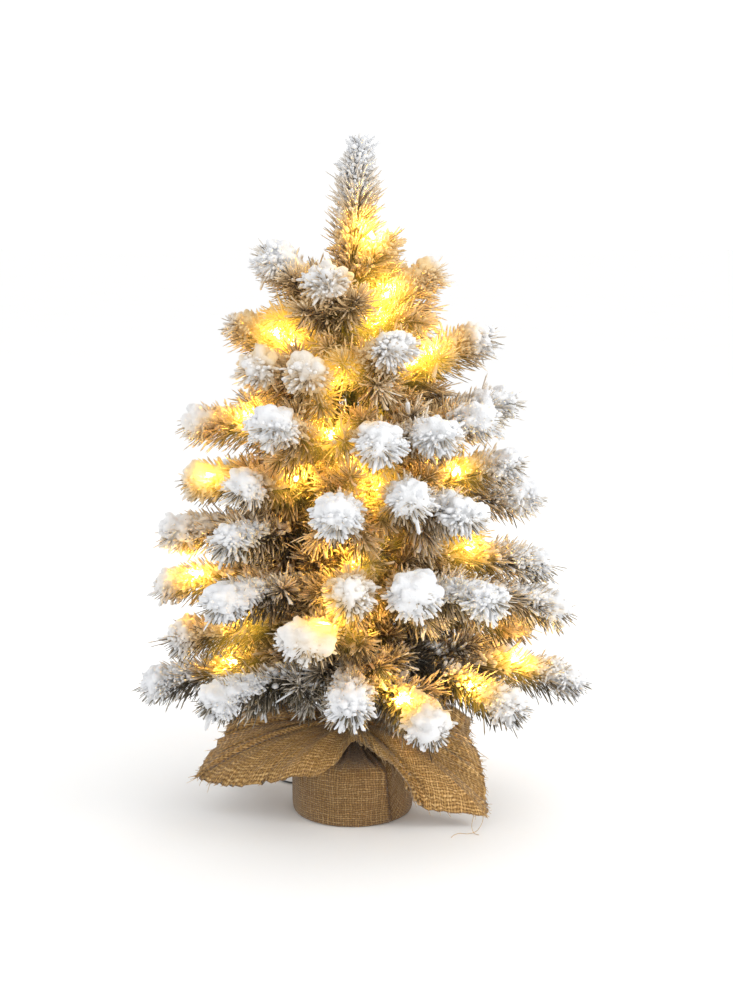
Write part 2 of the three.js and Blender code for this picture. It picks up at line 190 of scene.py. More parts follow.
def needle_finish():
    f = Finish("flocked_needle", Roughness=0.62, Sheen_Weight=0.15)
    # the attribute's flock tone carries painted shade towards each sprig's root
    frost = f.maths("ADD", f.attribute("frost"), f.spread(f.noise(210, 2), -0.14, 0.14), True)
    colour = f.ramp(
        frost,
        [
            (0.0, (0.022, 0.017, 0.006)),
            (0.20, (0.065, 0.053, 0.024)),
            (0.38, (0.24, 0.20, 0.135)),
            (0.58, (0.64, 0.60, 0.54)),
            (1.0, (0.87, 0.87, 0.865)),
        ],
    )
    # the colour takes painted lamplight near the lamps
    return f.show(with_painted_lamplight(f, colour))


def flock_finish():
    f = Finish("flock", Roughness=0.95, Sheen_Weight=0.3, Sheen_Roughness=0.6)
    broad, grain = f.noise(70, 3), f.noise(520, 4, 0.7)
    colour = f.ramp(broad, [(0.3, (0.79, 0.805, 0.835)), (0.7, (0.90, 0.905, 0.915))])
    # the colour takes painted lamplight near the lamps
    return f.show(with_painted_lamplight(f, colour, 3.5), bump=grain, depth=1.3 * MM, strength=0.9)


def grained_finish(name, grain, stops, relief, depth, **plain):
    """Colour and relief from two plain noises, each given as its scale and its detail."""
    f = Finish(name, **plain)
    return f.show(f.ramp(f.noise(*grain), stops), bump=f.noise(*relief), depth=depth * MM)


WARP_PER_METRE, WEFT_PER_METRE = 430, 480


def burlap_finish():
    """Plain open jute weave. Each thread has its own tone, and a point attribute paints shade on the cloth,
    darkest in the gathered shoulder and neck.
    """
    f = Finish("burlap", Roughness=0.93, Sheen_Weight=0.25, Sheen_Roughness=0.5)
    uv = f.tree.nodes.new("ShaderNodeSeparateXYZ")
    f.tree.links.new(f.coords.outputs["UV"], uv.inputs[0])
    slub = f.noise(38, 3, vector=f.place((1, 1, 1), "UV"))
    wobble = f.noise(170, 2, vector=f.place((1, 1, 1), "UV"))
    shift = f.maths("ADD", f.spread(slub, -1.2, 1.2), f.spread(wobble, -0.55, 0.55))
    warp = f.maths("ADD", f.maths("MULTIPLY", uv.outputs[0], WARP_PER_METRE), shift)
    weft = f.maths("ADD", f.maths("MULTIPLY", uv.outputs[1], WEFT_PER_METRE), shift)

    def thread(across, along, low, high, streak):
        ridge = f.maths("ABSOLUTE", f.maths("SINE", f.maths("MULTIPLY", across, math.pi)))
        phase = f.maths("ADD", along, f.maths("FLOOR", across))
        lift = f.spread(f.maths("SINE", f.maths("MULTIPLY", phase, math.pi)), low, high, -1, 1)
        own = f.spread(f.noise(1, 2, 0.6, f.place(streak, "UV")), 0.55, 1.3, 0.3, 0.7)
        return f.maths("MULTIPLY", f.maths("MULTIPLY", f.maths("POWER", ridge, 0.9), lift), own)

    over = thread(warp, weft, 0.48, 0.92, (WARP_PER_METRE, 45, 1))
    under = thread(weft, f.maths("ADD", warp, 1.0), 0.6, 1.0, (45, WEFT_PER_METRE, 1))
    weave = f.maths("MAXIMUM", over, under)
    uneven = f.noise(14, 4)
    fibre = f.noise(700, 3, vector=f.place((1, 1, 2.4)))
    tone = f.maths("ADD", f.maths("MULTIPLY", weave, 0.80), f.spread(fibre, -0.24, 0.34), True)
    jute = f.ramp(
        tone,
        [
            (0.10, (0.085, 0.038, 0.009)),
            (0.34, (0.255, 0.132, 0.036)),
            (0.62, (0.490, 0.287, 0.090)),
            (0.92, (0.87, 0.60, 0.265)),
        ],
    )
    toned = f.mix(f.spread(uneven, 0.0, 0.34, 0.35, 0.75), jute, (0.76, 0.58, 0.38), "MULTIPLY")
    # painted shade: the colour is multiplied towards dark brown where the attribute is low
    colour = f.mix(f.attribute("frost"), f.mix(1.0, toned, (0.26, 0.22, 0.18), "MULTIPLY"), toned)
    height = f.maths("ADD", weave, f.spread(fibre, 0, 0.25))
    return f.show(colour, bump=height, depth=0.7 * MM, strength=1.0)


def cement_finish():
    f = Finish("cement", Roughness=0.9)
    colour = f.ramp(f.noise(60, 6, 0.65), [(0.3, (0.26, 0.25, 0.23)), (0.7, (0.45, 0.44, 0.41))])
    pits = f.spread(f.noise(330, 5, 0.7), 0, 1, 0.3, 0.6)
    return f.show(colour, bump=pits, depth=0.8 * MM)


def steel_finish(name, colour):
    f = Finish(name, Metallic=1.0)
    drawn = f.noise(120, 4, vector=f.place((9, 9, 0.5)))
    dark = tuple(c * 0.72 for c in colour)
    return f.show(f.ramp(drawn, [(0.3, dark), (0.7, colour)]), f.spread(drawn, 0.22, 0.45), drawn, 0.05 * MM)


def tape_finish():
    f = Finish("green_tape", Roughness=0.55)
    crepe = f.noise(500, 3, vector=f.place((1, 1, 5)))
    colour = f.ramp(crepe, [(0.3, (0.020, 0.034, 0.014)), (0.75, (0.065, 0.085, 0.042))])
    return f.show(colour, f.spread(crepe, 0.45, 0.75), crepe, 0.3 * MM)


def plastic_finish(name, colour, rough):
    f = Finish(name, Coat_Weight=0.05)
    mould, speck = f.noise(28, 3), f.noise(2400, 2)
    tone = f.ramp(mould, [(0.3, tuple(c * 0.9 for c in colour)), (0.7, colour)])
    return f.show(tone, f.spread(speck, rough - 0.07, rough + 0.1), speck, 0.08 * MM)


def board_finish():
    f = Finish("circuit_board")
    copper = f.noise(420, 1, vector=f.place((0.4, 1, 3)))
    stops = [(0.42, (0.018, 0.095, 0.035)), (0.5, (0.035, 0.17, 0.06)), (0.62, (0.30, 0.26, 0.10))]
    return f.show(f.ramp(copper, stops), f.spread(copper, 0.3, 0.55), copper, 0.1 * MM)


def cell_finish():
    f = Finish("cell_jacket", Metallic=0.35)
    split = f.tree.nodes.new("ShaderNodeSeparateXYZ")
    f.tree.links.new(f.coords.outputs["Object"], split.inputs[0])
    band = f.spread(split.outputs[0], 0, 1, -0.032, 0.022)
    scuff = f.noise(300, 3)
    dark, copper = ((0.03, 0.032, 0.036), (0.035, 0.037, 0.042)), ((0.60, 0.42, 0.20), (0.66, 0.48, 0.26))
    jacket = f.ramp(band, list(zip((0.0, 0.66, 0.7, 1.0), dark + copper)))
    return f.show(jacket, f.spread(scuff, 0.22, 0.42), scuff, 0.04 * MM)


def lamp_finish():
    f = Finish("warm_lamp", Roughness=0.2)
    f.shader.inputs["Emission Color"].default_value = (1.0, 0.80, 0.42, 1)
    f.shader.inputs["Emission Strength"].default_value = 26
    return f.show(f.ramp(f.noise(400, 2), [(0.3, (0.9, 0.75, 0.45)), (0.7, (1.0, 0.9, 0.65))]))


NEEDLE, FLOCK = needle_finish(), flock_finish()
stops = [(0.3, (0.045, 0.04, 0.022)), (0.62, (0.20, 0.17, 0.12)), (0.75, (0.7, 0.69, 0.66))]
STEM = grained_finish("stem_wire", (160, 4), stops, (1400, 2), 0.3, Roughness=0.7)
stops = [(0.3, (0.36, 0.22, 0.09)), (0.7, (0.74, 0.53, 0.29))]
JUTE = grained_finish("jute_fibre", (260, 4), stops, (1500, 3), 0.3, Roughness=0.9, Sheen_Weight=0.3)
stops = [(0.3, (0.52, 0.50, 0.43)), (0.7, (0.78, 0.76, 0.68))]
CLEAR_WIRE = grained_finish("clear_wire", (180, 2), stops, (1500, 2), 0.1, Roughness=0.25, Coat_Weight=0.3)
BURLAP, CEMENT, TAPE, LAMP = burlap_finish(), cement_finish(), tape_finish(), lamp_finish()
STEEL = steel_finish("pole_steel", (0.55, 0.56, 0.58))
DARK_WIRE = plastic_finish("dark_wire", (0.055, 0.057, 0.060), 0.38)
WHITE_PLASTIC = plastic_finish("white_plastic", (0.74, 0.75, 0.73), 0.45)
DARK_PLASTIC = plastic_finish("dark_plastic", (0.035, 0.037, 0.040), 0.42)
SPRING = steel_finish("spring_metal", (0.72, 0.72, 0.70))
BOARD, CELL = board_finish(), cell_finish()


# ---------------------------------------------------------------- mesh helpers
def unit(vectors):
    vectors = np.asarray(vectors, float)
    return vectors / np.maximum(np.linalg.norm(vectors, axis=-1, keepdims=True), 1e-9)


def smoothstep(x, low=0.0, high=1.0):
    t = np.clip((x - low) / (high - low), 0, 1)
    return t * t * (3 - 2 * t)


def spline(points, steps=10):
    """A centripetal Catmull-Rom curve through the points."""
    p = np.asarray(points, float)
    p = np.vstack([2 * p[0] - p[1], p, 2 * p[-1] - p[-2]])
    out = []
    for i in range(1, len(p) - 2):
        a, b, c, d = p[i - 1 : i + 3]
        k1 = np.linalg.norm(b - a) ** 0.5
        k2 = k1 + np.linalg.norm(c - b) ** 0.5
        k3 = k2 + np.linalg.norm(d - c) ** 0.5
        for t in np.linspace(k1, k2, steps, endpoint=False):
            ab = a + (b - a) * t / k1
            bc = b + (c - b) * (t - k1) / (k2 - k1)
            cd = c + (d - c) * (t - k2) / (k3 - k2)
            abc = ab + (bc - ab) * t / k2
            bcd = bc + (cd - bc) * (t - k1) / (k3 - k1)
            out.append(abc + (bcd - abc) * (t - k1) / (k2 - k1))
    out.append(p[-2])
    return np.array(out)


def travelled(path):
    return np.concatenate([[0], np.cumsum(np.linalg.norm(np.diff(path, axis=0), axis=1))])


def along(path, distances):
    run = travelled(path)
    return np.stack([np.interp(distances, run, path[:, k]) for k in range(3)], axis=-1)


def frames(path):
    """Tangents and two steady cross directions along a path."""
    tangent = unit(np.gradient(path, axis=0))
    start = np.cross(tangent[0], (0, 0, 1) if abs(tangent[0][2]) < 0.9 else (0, 1, 0))
    across = [unit(start)]
    for t in tangent[1:]:
        last = across[-1]
        across.append(unit(last - t * np.dot(last, t)))
    across = np.array(across)
    return tangent, across, np.cross(tangent, across)


class Soup:
    """Collects closed shapes for one mesh."""

    def __init__(self):
        self.points, self.faces, self.slots, self.frost, self.count = [], [], [], [], 0

    def add(self, points, faces, slot=0, frost=1.0):
        points = np.asarray(points, np.float32).reshape(-1, 3)
        faces = faces if isinstance(faces, list) else [faces]
        for group in faces:
            self.faces.append(np.asarray(group, np.int64) + self.count)
            self.slots.append(np.full(len(group), slot, np.int32))
        self.points.append(points)
        self.frost.append(np.broadcast_to(np.asarray(frost, np.float32).reshape(-1), (len(points),)))
        self.count += len(points)

    def piece(self, name, materials, smooth=True):
        mesh = bpy.data.meshes.new(name)
        points = np.concatenate(self.points)
        loops = np.concatenate([group.ravel() for group in self.faces])
        totals = np.concatenate([np.full(len(group), group.shape[1], np.int32) for group in self.faces])
        mesh.vertices.add(len(points))
        mesh.vertices.foreach_set("co", points.ravel())
        mesh.loops.add(len(loops))
        mesh.loops.foreach_set("vertex_index", loops.astype(np.int32))
        mesh.polygons.add(len(totals))
        mesh.polygons.foreach_set("loop_start", (np.cumsum(totals) - totals).astype(np.int32))
        mesh.polygons.foreach_set("loop_total", totals)
        for material in materials:
            mesh.materials.append(material)
        mesh.polygons.foreach_set("material_index", np.concatenate(self.slots))
        mesh.polygons.foreach_set("use_smooth", np.full(len(totals), smooth))
        # the attribute holds flock tone with painted shade: on the needles their frost, darkened towards each
        # sprig's root; on the burlap painted shade only
        frost = mesh.attributes.new("frost", "FLOAT", "POINT")
        frost.data.foreach_set("value", np.concatenate(self.frost))
        mesh.update(calc_edges=True)
        return placed(name, mesh)


def turned(angle, a, b):
    """The directions at these angles from a towards b."""
    return np.cos(angle)[..., None] * a + np.sin(angle)[..., None] * b


def ring_quads(rings, around):
    """Quads between neighbouring rings of points, each going all the way round."""
    i, j = np.meshgrid(np.arange(rings - 1), np.arange(around), indexing="ij")
    here, onward = i * around + j, i * around + (j + 1) % around
    return np.stack([here, onward, onward + around, here + around], -1).reshape(-1, 4)


def ring_ends(rings, around, foot, head):
    """Triangles from the first ring to the foot point and from the last ring to the head point."""
    k = np.arange(around)
    nxt, last = (k + 1) % around, (rings - 1) * around
    foot_tris = np.stack([np.full(around, foot), nxt, k], -1)
    return np.vstack([foot_tris, np.stack([np.full(around, head), last + k, last + nxt], -1)])


def closed_rings(path, radius, u, v, sides):
    """Rings round a path, closed at both ends: points, then quads and the triangles of the ends."""
    n = len(path)
    radius = np.broadcast_to(radius, (n,))[:, None, None]
    body = path[:, None] + radius * turned(np.arange(sides) * math.tau / sides, u, v)
    points = np.vstack([body.reshape(-1, 3), path[:1], path[-1:]])
    return points, [ring_quads(n, sides), ring_ends(n, sides, n * sides, n * sides + 1)]


def tube(path, radius, sides):
    """A closed round tube along a path."""
    path = np.asarray(path, float)
    _, u, v = frames(path)
    return closed_rings(path, radius, u[:, None], v[:, None], sides)


def lathe(profile, foot, heading, sides):
    """A turned piece from (radius, distance) pairs, from its foot along its heading. Its ends are closed."""
    heading = unit(np.asarray(heading, float))
    path = np.array([np.asarray(foot, float) + heading * d for _, d in profile])
    path[1:] += heading * 1e-7  # the first two rings never lie in one plane
    _, u, v = frames(np.array([path[0], path[0] + heading, path[0] + heading * 2]))
    return closed_rings(path, np.array([r for r, _ in profile]), u[0], v[0], sides)


def add_twisted(soup, path, pitch, off_axis, radius, strands, **looks):
    """Strands twisted together along a path."""
    _, u, v = frames(path)
    turn = travelled(path) / pitch * math.tau
    for strand in range(strands):
        offset = turned(turn + strand * math.tau / strands, u, v) * off_axis
        soup.add(*tube(path + offset, radius, 5), **looks)


def spikes(base, heading, length, radii, stations, bend, flat=1.0, sides=3, roll=None):
    """Closed spindles, one for each base point: a point, rings at the stations, a point."""
    n, m = radii.shape
    heading = unit(heading)
    helper = np.where(np.abs(heading[:, 2:3]) < 0.9, [[0.0, 0, 1]], [[0.0, 1, 0]])
    u = unit(np.cross(heading, helper))[:, None]
    v = np.cross(heading[:, None], u)
    angle = (np.arange(sides) * math.tau / sides)[None, :] + (0 if roll is None else roll[:, None])
    t = np.concatenate([[0.0], stations, [1.0]])[:, None]
    reach = length[:, None, None] * t
    middle = base[:, None] + heading[:, None] * reach + bend[:, None] * (reach * t)
    body = middle[:, 1:-1, None] + radii[:, :, None, None] * turned(angle, u, flat * v)[:, None]
    points = np.concatenate([middle[:, :1], body.reshape(n, m * sides, 3), middle[:, -1:]], axis=1)
    quads, tris = 1 + ring_quads(m, sides), 1 + ring_ends(m, sides, -1, m * sides)
    shift = (np.arange(n) * (2 + m * sides))[:, None, None]
    return points, [(quads + shift).reshape(-1, 4), (tris + shift).reshape(-1, 3)]


def ball_shape(level):
    ball = bmesh.new()
    bmesh.ops.create_icosphere(ball, subdivisions=level, radius=1)
    points = np.array([v.co for v in ball.verts])
    tris = np.array([[v.index for v in face.verts] for face in ball.faces])
    ball.free()
    return points, tris


BALL_POINTS, BALL_TRIS = ball_shape(2)
HEAP_POINTS, HEAP_TRIS = ball_shape(4)


def lumps(centres, sizes, rng, squat=0.85):
    """Rounded uneven lumps of flock."""
    n, m = len(centres), len(BALL_POINTS)
    scale = sizes[:, None] * rng.uniform(0.8, 1.15, (n, 3))
    scale[:, 2] *= squat
    uneven = rng.uniform(0.80, 1.16, (n, m, 1))
    points = centres[:, None] + BALL_POINTS[None] * uneven * scale[:, None]
    return points, (BALL_TRIS[None] + (np.arange(n) * m)[:, None, None]).reshape(-1, 3)


# ---------------------------------------------------------------- battery lead
LEAD_RADIUS = 0.9 * MM
LEAD_ROUTE = np.array([
    (0, 17.5, 103.5), (0.5, 22.5, 98.5), (3, 27.5, 90), (7, 32.5, 79), (11.5, 39.5, 69), (17, 47.5, 60.5),
    (22.5, 53.5, 49), (25.5, 55.5, 35), (26.8, 54.8, 21), (27, 54.6, 10.5), (28, 56, 5), (30, 58.4, 2.1),
    (32.8, 62, 1.1), (33.9, 66.6, 1.1), (31.5, 71, 1.1), (26.5, 73.2, 1.1), (17, 72.8, 1.1), (6, 70.4, 1.1),
    (-8, 67, 1.1), (-24, 64.5, 1.1), (-40, 60.5, 1.1), (-51, 58.2, 1.1), (-60, 59.4, 1.1), (-68, 64.8, 1.1),
    (-74, 73.5, 1.1), (-77, 84.5, 1.1), (-76, 95.5, 1.1), (-70.5, 105, 1.1), (-61.5, 109.4, 1.15),
    (-52.5, 107.8, 2.4), (-45, 105, 4.8), (-39.2, 104, 6),
]) * MM

lead_path = spline(LEAD_ROUTE, 8)
lead_soup = Soup()
lead_soup.add(*tube(lead_path, LEAD_RADIUS, 10))
lead = lead_soup.piece("battery_lead_cord", [DARK_WIRE])
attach(lead, "root")
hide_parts("battery_lead")

# ---------------------------------------------------------------- sprigs
NEEDLES_PER_MM = 6.6
NEEDLE_TIP = 13 * MM  # the needles reach this far past the end of the wire
FORK_AT = 0.22
SPRIG_OFF_BRANCH = 20 * MM  # a branch in the frame that is wider than this has a side sprig
NEEDLE_SLOT, FLOCK_SLOT, STEM_SLOT = 0, 1, 2
BLUNT = np.array([0.16, 0.6, 0.93])  # where the rings of a flocked needle sit along it
LEADER_TAPER, NARROWEST = 62, 0.46  # the leader thins over this many mm to this share of its width
# heaps of flock: mm back from the tip, share of full size, mm above the wire, mm of half its height
CAPS = ((6, 1.0, 2.0, 14.0), (22, 0.84, 8.0, 10.5), (38, 0.70, 10.0, 8.5))
LIGHT_CAP = ((5, *CAPS[0][1:]),)
CAP_BUMPS, CAP_HALF_WIDTH = 64, 17.0
TWIGS = ((0.07, 46), (0.14, 54), (0.23, 60), (0.33, 58), (0.45, 50))  # share along the branch, length in mm


def stem_line(root, tip, rng, bow):
    """A gently bowed wire from root towards tip, as far as the needles past its end leave."""
    run = tip - root
    length = np.linalg.norm(run)
    end = root + run * (1 - NEEDLE_TIP / length)
    sideways = unit(np.cross(run, (0, 0, 1)) + (1e-6, 0, 0))
    lift = unit(np.cross(sideways, run))
    control = (root + end) / 2 + lift * bow * length + sideways * rng.uniform(-0.05, 0.05) * length
    t = np.linspace(0, 1, 33)[:, None]
    return (1 - t) ** 2 * root + 2 * t * (1 - t) * control + t**2 * end


def stem_frame(path, distances):
    """Points and directions on the wire: along it, up and sideways."""
    at = along(path, distances)
    ahead = unit(along(path, distances + 1.5 * MM) - along(path, distances - 1.5 * MM))
    side = unit(np.cross(ahead, (0, 0, 1)) + np.array([1e-6, 0, 0]))
    return at, ahead, np.cross(side, ahead), side


def stem_frame_at(path, distance):
    """The same at one distance along the wire."""
    return (each[0] for each in stem_frame(path, np.array([distance])))


def add_needles(soup, path, rng, start, snow, size=1.0, taper=0, wild=1.0):
    """Thin film needles clamped all round the wire, frosted towards their tips."""
    length = travelled(path)[-1]
    n = int(NEEDLES_PER_MM * (length - start) / MM * size)
    s = np.sort(rng.uniform(start, length - 0.5 * MM, n))
    at, ahead, up, side = stem_frame(path, s)
    phi = np.arange(n) * GOLDEN_ANGLE + rng.uniform(-0.5, 0.5, n)
    radial = turned(phi, side, up)
    to_tip = (length - s) / MM
    lean = rng.normal(60, 9 * wild, n)
    lean -= 16 * smoothstep(18 - to_tip, 0, 18) * rng.uniform(0.2, 2.2, n)
    heading = turned(np.radians(lean), ahead, radial) + rng.normal(0, 0.05 + 0.22 * (wild - 1), (n, 3))
    reach = (rng.normal(23.0, 2.4, n) - 7.5 * smoothstep(20 - to_tip, 0, 20)) * size
    if taper:
        reach *= NARROWEST + (1 - NARROWEST) * smoothstep(to_tip, 0, taper)
    elif wild == 1.0:  # under the cap of flock at the tip
        reach -= 9 * smoothstep(30 - to_tip, 0, 14) * np.clip(radial[:, 2] + 0.35, 0, 1)
    reach *= 0.66 + 0.34 * smoothstep((s - start) / MM, 0, 26)
    tipness = smoothstep(s / length, 0.35, 0.95)
    upness = np.clip(radial[:, 2], -1, 1)
    frost = 0.60 + 0.18 * tipness + 0.26 * upness + rng.normal(0, 0.17, n) + snow
    # painted shade: the needles are darkened towards the root of each sprig, deep inside the tree
    frost = np.clip(frost - 0.42 * (1 - smoothstep(s / length, 0.0, 0.45)), 0.02, 1)
    width = (0.40 + 0.52 * frost) * MM
    radii = np.stack([width * 0.8, width * 1.15], -1)
    bend = ahead * 0.22 + rng.normal(0, 0.12 * wild, (n, 3)) + np.array([0, 0, -0.04 * wild])
    points, faces = spikes(at, heading, reach * MM, radii, np.array([0.2, 0.92]), bend, 0.6, 3, phi)
    steps = np.array([0.10] + [0.55] * 3 + [1.05] * 3 + [1.15])
    soup.add(points, faces, NEEDLE_SLOT, np.clip(frost[:, None] * steps, 0, 1))


def add_fingers(soup, path, rng, snow):
    """Needles caked with flock into soft fingers: over the top, and as nubs round the cap of the tip."""
    length = travelled(path)[-1]
    body, tip, crown = int(0.50 * length / MM * snow), int(30 * snow), int(8 * snow)
    s_body = rng.uniform(0.28, 1.0, body) ** 0.8 * (length - 20 * MM)
    s_tip = length - rng.uniform(2 * MM, 30 * MM, tip)
    s_crown = length - rng.uniform(0, 7 * MM, crown)
    s = np.concatenate([s_body, s_tip, s_crown])
    n = len(s)
    at, ahead, up, side = stem_frame(path, s)
    phi = np.concatenate([
        rng.normal(math.pi / 2, 0.75, body),
        rng.uniform(-1.15 * math.pi, 0.15 * math.pi, tip),
        rng.uniform(-math.pi, 0, crown),
    ])
    lean = np.concatenate([rng.normal(64, 10, body), rng.normal(60, 10, tip), rng.uniform(62, 88, crown)])
    heading = turned(np.radians(lean), ahead, turned(phi, side, up))
    reach = [rng.normal(15.5, 2.2, body), rng.normal(16.0, 1.6, tip), rng.normal(19.0, 1.5, crown)]
    reach = np.concatenate(reach) * MM
    thick = rng.uniform(1.0, 2.0, n) * MM
    radii = thick[:, None] * np.array([[0.6, 1.0, 1.0]]) * rng.uniform(0.75, 1.25, (n, 3))
    base = at + heading * (reach * 0.22)[:, None]
    bend = ahead * 0.15 + rng.normal(0, 0.14, (n, 3))
    soup.add(*spikes(base, heading, reach * 0.85, radii, BLUNT, bend, 0.9, 4, phi), slot=FLOCK_SLOT)


def add_heap(soup, at, axes, sizes, rng):
    """One cohesive heap of flock: an ellipsoid covered with small rounded bumps."""
    bumps = unit(rng.normal(size=(CAP_BUMPS, 3)))
    rise = rng.uniform(0.10, 0.40, CAP_BUMPS)
    width = rng.uniform(0.16, 0.36, CAP_BUMPS)
    apart = np.arccos(np.clip(HEAP_POINTS @ bumps.T, -1, 1))
    swell = (rise * np.sqrt(np.clip(1 - (apart / width) ** 2, 0, 1))).max(axis=1)
    broad = (HEAP_POINTS @ unit(rng.normal(size=(4, 3))).T) ** 2 @ rng.uniform(-0.18, 0.16, 4)
    grown = HEAP_POINTS * (0.76 + swell + broad + rng.uniform(-0.02, 0.02, len(HEAP_POINTS)))[:, None]
    soup.add(at + (grown * sizes) @ axes, HEAP_TRIS, slot=FLOCK_SLOT)


def add_snow(soup, path, rng, snow):
    """Flock heaped over the tip, trailing back along the upper side in smaller and smaller heaps."""
    length = travelled(path)[-1]
    caps = CAPS[: 2 + int(rng.uniform() < 0.5 + (snow - 1) * 1.5)] if snow > 0.9 else LIGHT_CAP
    for back, share, raised, tall in caps:
        at, ahead, up, side = stem_frame_at(path, length - back * MM)
        size = min(snow, 1.15) ** 1.1 * share * rng.uniform(0.90, 1.06)
        heap_at = at + (up * raised + side * rng.normal(0, 1.6)) * MM
        sizes = np.array([CAP_HALF_WIDTH, tall, CAP_HALF_WIDTH]) * rng.uniform(0.84, 1.18, 3) * size * MM
        axes = np.array([ahead, up, side])
        add_heap(soup, heap_at, axes, sizes, rng)
        spots = unit(rng.normal(size=(int(54 * size), 3)))
        spots[:, 1] = np.abs(spots[:, 1]) - 0.35
        spots = heap_at + (spots * sizes * rng.uniform(0.86, 1.0, (len(spots), 1))) @ axes
        soup.add(*lumps(spots, rng.uniform(1.2, 2.8, len(spots)) * MM, rng), slot=FLOCK_SLOT)
        # nubs of flocked needle stand out round its lower edge
        nubs = unit(rng.normal(size=(int(150 * size), 3)))
        nubs = nubs[(nubs[:, 1] < 0.12) & (nubs[:, 0] > -0.7) & (nubs[:, 0] < 0.5)]
        n = len(nubs)
        root = heap_at + (nubs * sizes * 0.72) @ axes
        heading = (nubs + [0.15, -0.12, 0]) @ axes + rng.normal(0, 0.10, (n, 3))
        thick = rng.uniform(0.9, 1.7, (n, 1)) * MM * np.array([[0.8, 1.05, 0.95]])
        thick = thick * rng.uniform(0.8, 1.2, (n, 3))
        out = rng.normal(9.5, 1.5, n) * size**0.5 * MM
        stations, bend = np.array([0.2, 0.66, 0.93]), rng.normal(0, 0.12, (n, 3))
        soup.add(*spikes(root, heading, out, thick, stations, bend, 0.9, 4), slot=FLOCK_SLOT)
    heaps = max(2, int(length / (17 * MM)))
    s = rng.uniform(0.30, 0.86, heaps) * length
    s = (s[:, None] + rng.normal(0, 4.0 * MM, (heaps, int(9 * snow) + 1))).ravel()
    on, on_ahead, on_up, on_side = stem_frame(path, s)
    radial = turned(rng.normal(math.pi / 2, 0.6, len(s)), on_side, on_up)
    ridge = on + radial * (rng.uniform(10, 16, len(s)) * MM)[:, None] + on_ahead * 5 * MM
    soup.add(*lumps(ridge, rng.uniform(1.8, 3.7, len(s)) * MM, rng), slot=FLOCK_SLOT)


def add_sprig(soup, root, tip, rng, snow, white, start, bow, size=1.0, taper=0):
    """A whole sprig: its wire, needles and flock. The needles start this many mm from its root."""
    path = stem_line(root, tip, rng, bow)
    add_twisted(soup, path, 7 * MM, 0.6 * MM, 0.75 * MM, 2, slot=STEM_SLOT, frost=0.2)
    add_needles(soup, path, rng, start * MM, (snow - 1) * 0.1 + white, size, taper)
    add_fingers(soup, path, rng, snow)
    add_snow(soup, path, rng, snow)
    return path


def add_twigs(soup, path, rng, snow, white):
    """Short side twigs that fill the inside of the tree."""
    length = travelled(path)[-1]
    turn = rng.uniform(0, math.tau)
    for share, reach in TWIGS:
        at, ahead, up, side = stem_frame_at(path, share * length)
        turn += GOLDEN_ANGLE
        lean = math.radians(rng.uniform(36, 56))
        heading = turned(lean, ahead, turned(turn, side, up))
        line = stem_line(at, at + heading * reach * MM, rng, 0.0)
        add_needles(soup, line, rng, 2 * MM, 0.8 * white, 0.86, 0, 2.0)
        add_fingers(soup, line, rng, 0.16 * snow)


def add_leader_flock(soup, path, rng, count=640):
    """Short flocked needles all round the leader, so that it is white on every side."""
    run = travelled(path)[-1]
    spots = rng.uniform(0.05, 1.0, count) * run
    on, on_ahead, on_up, on_side = stem_frame(path, spots)
    radial = turned(rng.uniform(0, math.tau, count), on_side, on_up)
    narrow = NARROWEST + (1 - NARROWEST) * smoothstep((run - spots) / MM, 0, LEADER_TAPER)
    heading = turned(np.radians(rng.normal(56, 12, count)), on_ahead, radial)
    thick = rng.uniform(0.8, 1.9, (count, 1)) * MM * np.array([[0.8, 1.1, 0.95]])
    thick = thick * rng.uniform(0.7, 1.3, (count, 3))
    foot = on + heading * (rng.uniform(7, 15, count) * narrow * MM)[:, None]
    bend, stations = rng.normal(0, 0.2, (count, 3)), np.array([0.15, 0.6, 0.93])
    length = rng.uniform(5, 10, count) * MM
    soup.add(*spikes(foot, heading, length, thick, stations, bend, 0.9, 5), slot=FLOCK_SLOT)


def node_points(name):
    mesh = frame["nodes"][name].data
    points = np.empty(len(mesh.vertices) * 3)
    mesh.vertices.foreach_get("co", points)
    world = np.array(frame["nodes"][name].matrix_world)
    return points.reshape(-1, 3) @ world[:3, :3].T + world[:3, 3]


def sprig_tips(name, pivot):
    """The main tip of a branch, and its side sprig's tip if it has one."""
    points = node_points(name)
    main = points[np.argmax(np.linalg.norm(points - pivot, axis=1))]
    axis = unit(main - pivot)
    off = points - pivot - np.outer((points - pivot) @ axis, axis)
    spread = np.linalg.norm(off, axis=1)
    side = points[np.argmax(spread)] if spread.max() > SPRIG_OFF_BRANCH else None
    return main, side


pivots = {j["child"]: np.array(j["pos_m"]) for j in frame["joints"] if j["name"].endswith("_bend")}
HEAVY = {  # how much flock, where it isn't 1
    "tier1_branch_2": 1.35, "tier1_branch_3": 1.5, "tier1_branch_4": 1.45, "tier2_branch_1": 1.45,
    "tier3_branch_2": 1.1, "tier3_branch_3": 1.35, "tier3_branch_4": 1.45, "tier5_branch_2": 1.4,
    "tier5_branch_3": 1.35, "tier6_branch_2": 1.3, "tier6_branch_3": 1.4, "tier7_branch_2": 1.3,
    "tier7_branch_3": 1.3, "tier8_branch_1": 1.25, "tier8_branch_2": 1.2, "top_leader": 0.66,
}
LEADER_LEAN = np.array([7, 0, 6]) * MM
BESIDE_LEADER = np.array([39, -16, 533]) * MM  # the tip of a short sprig close beside the leader
WHITE_BY_TIER = [1, 2, 4, 6, 8], [-0.34, -0.27, -0.12, 0.0, 0.06]
LEADER_WHITE = 0.22
stems, soups = {}, {}
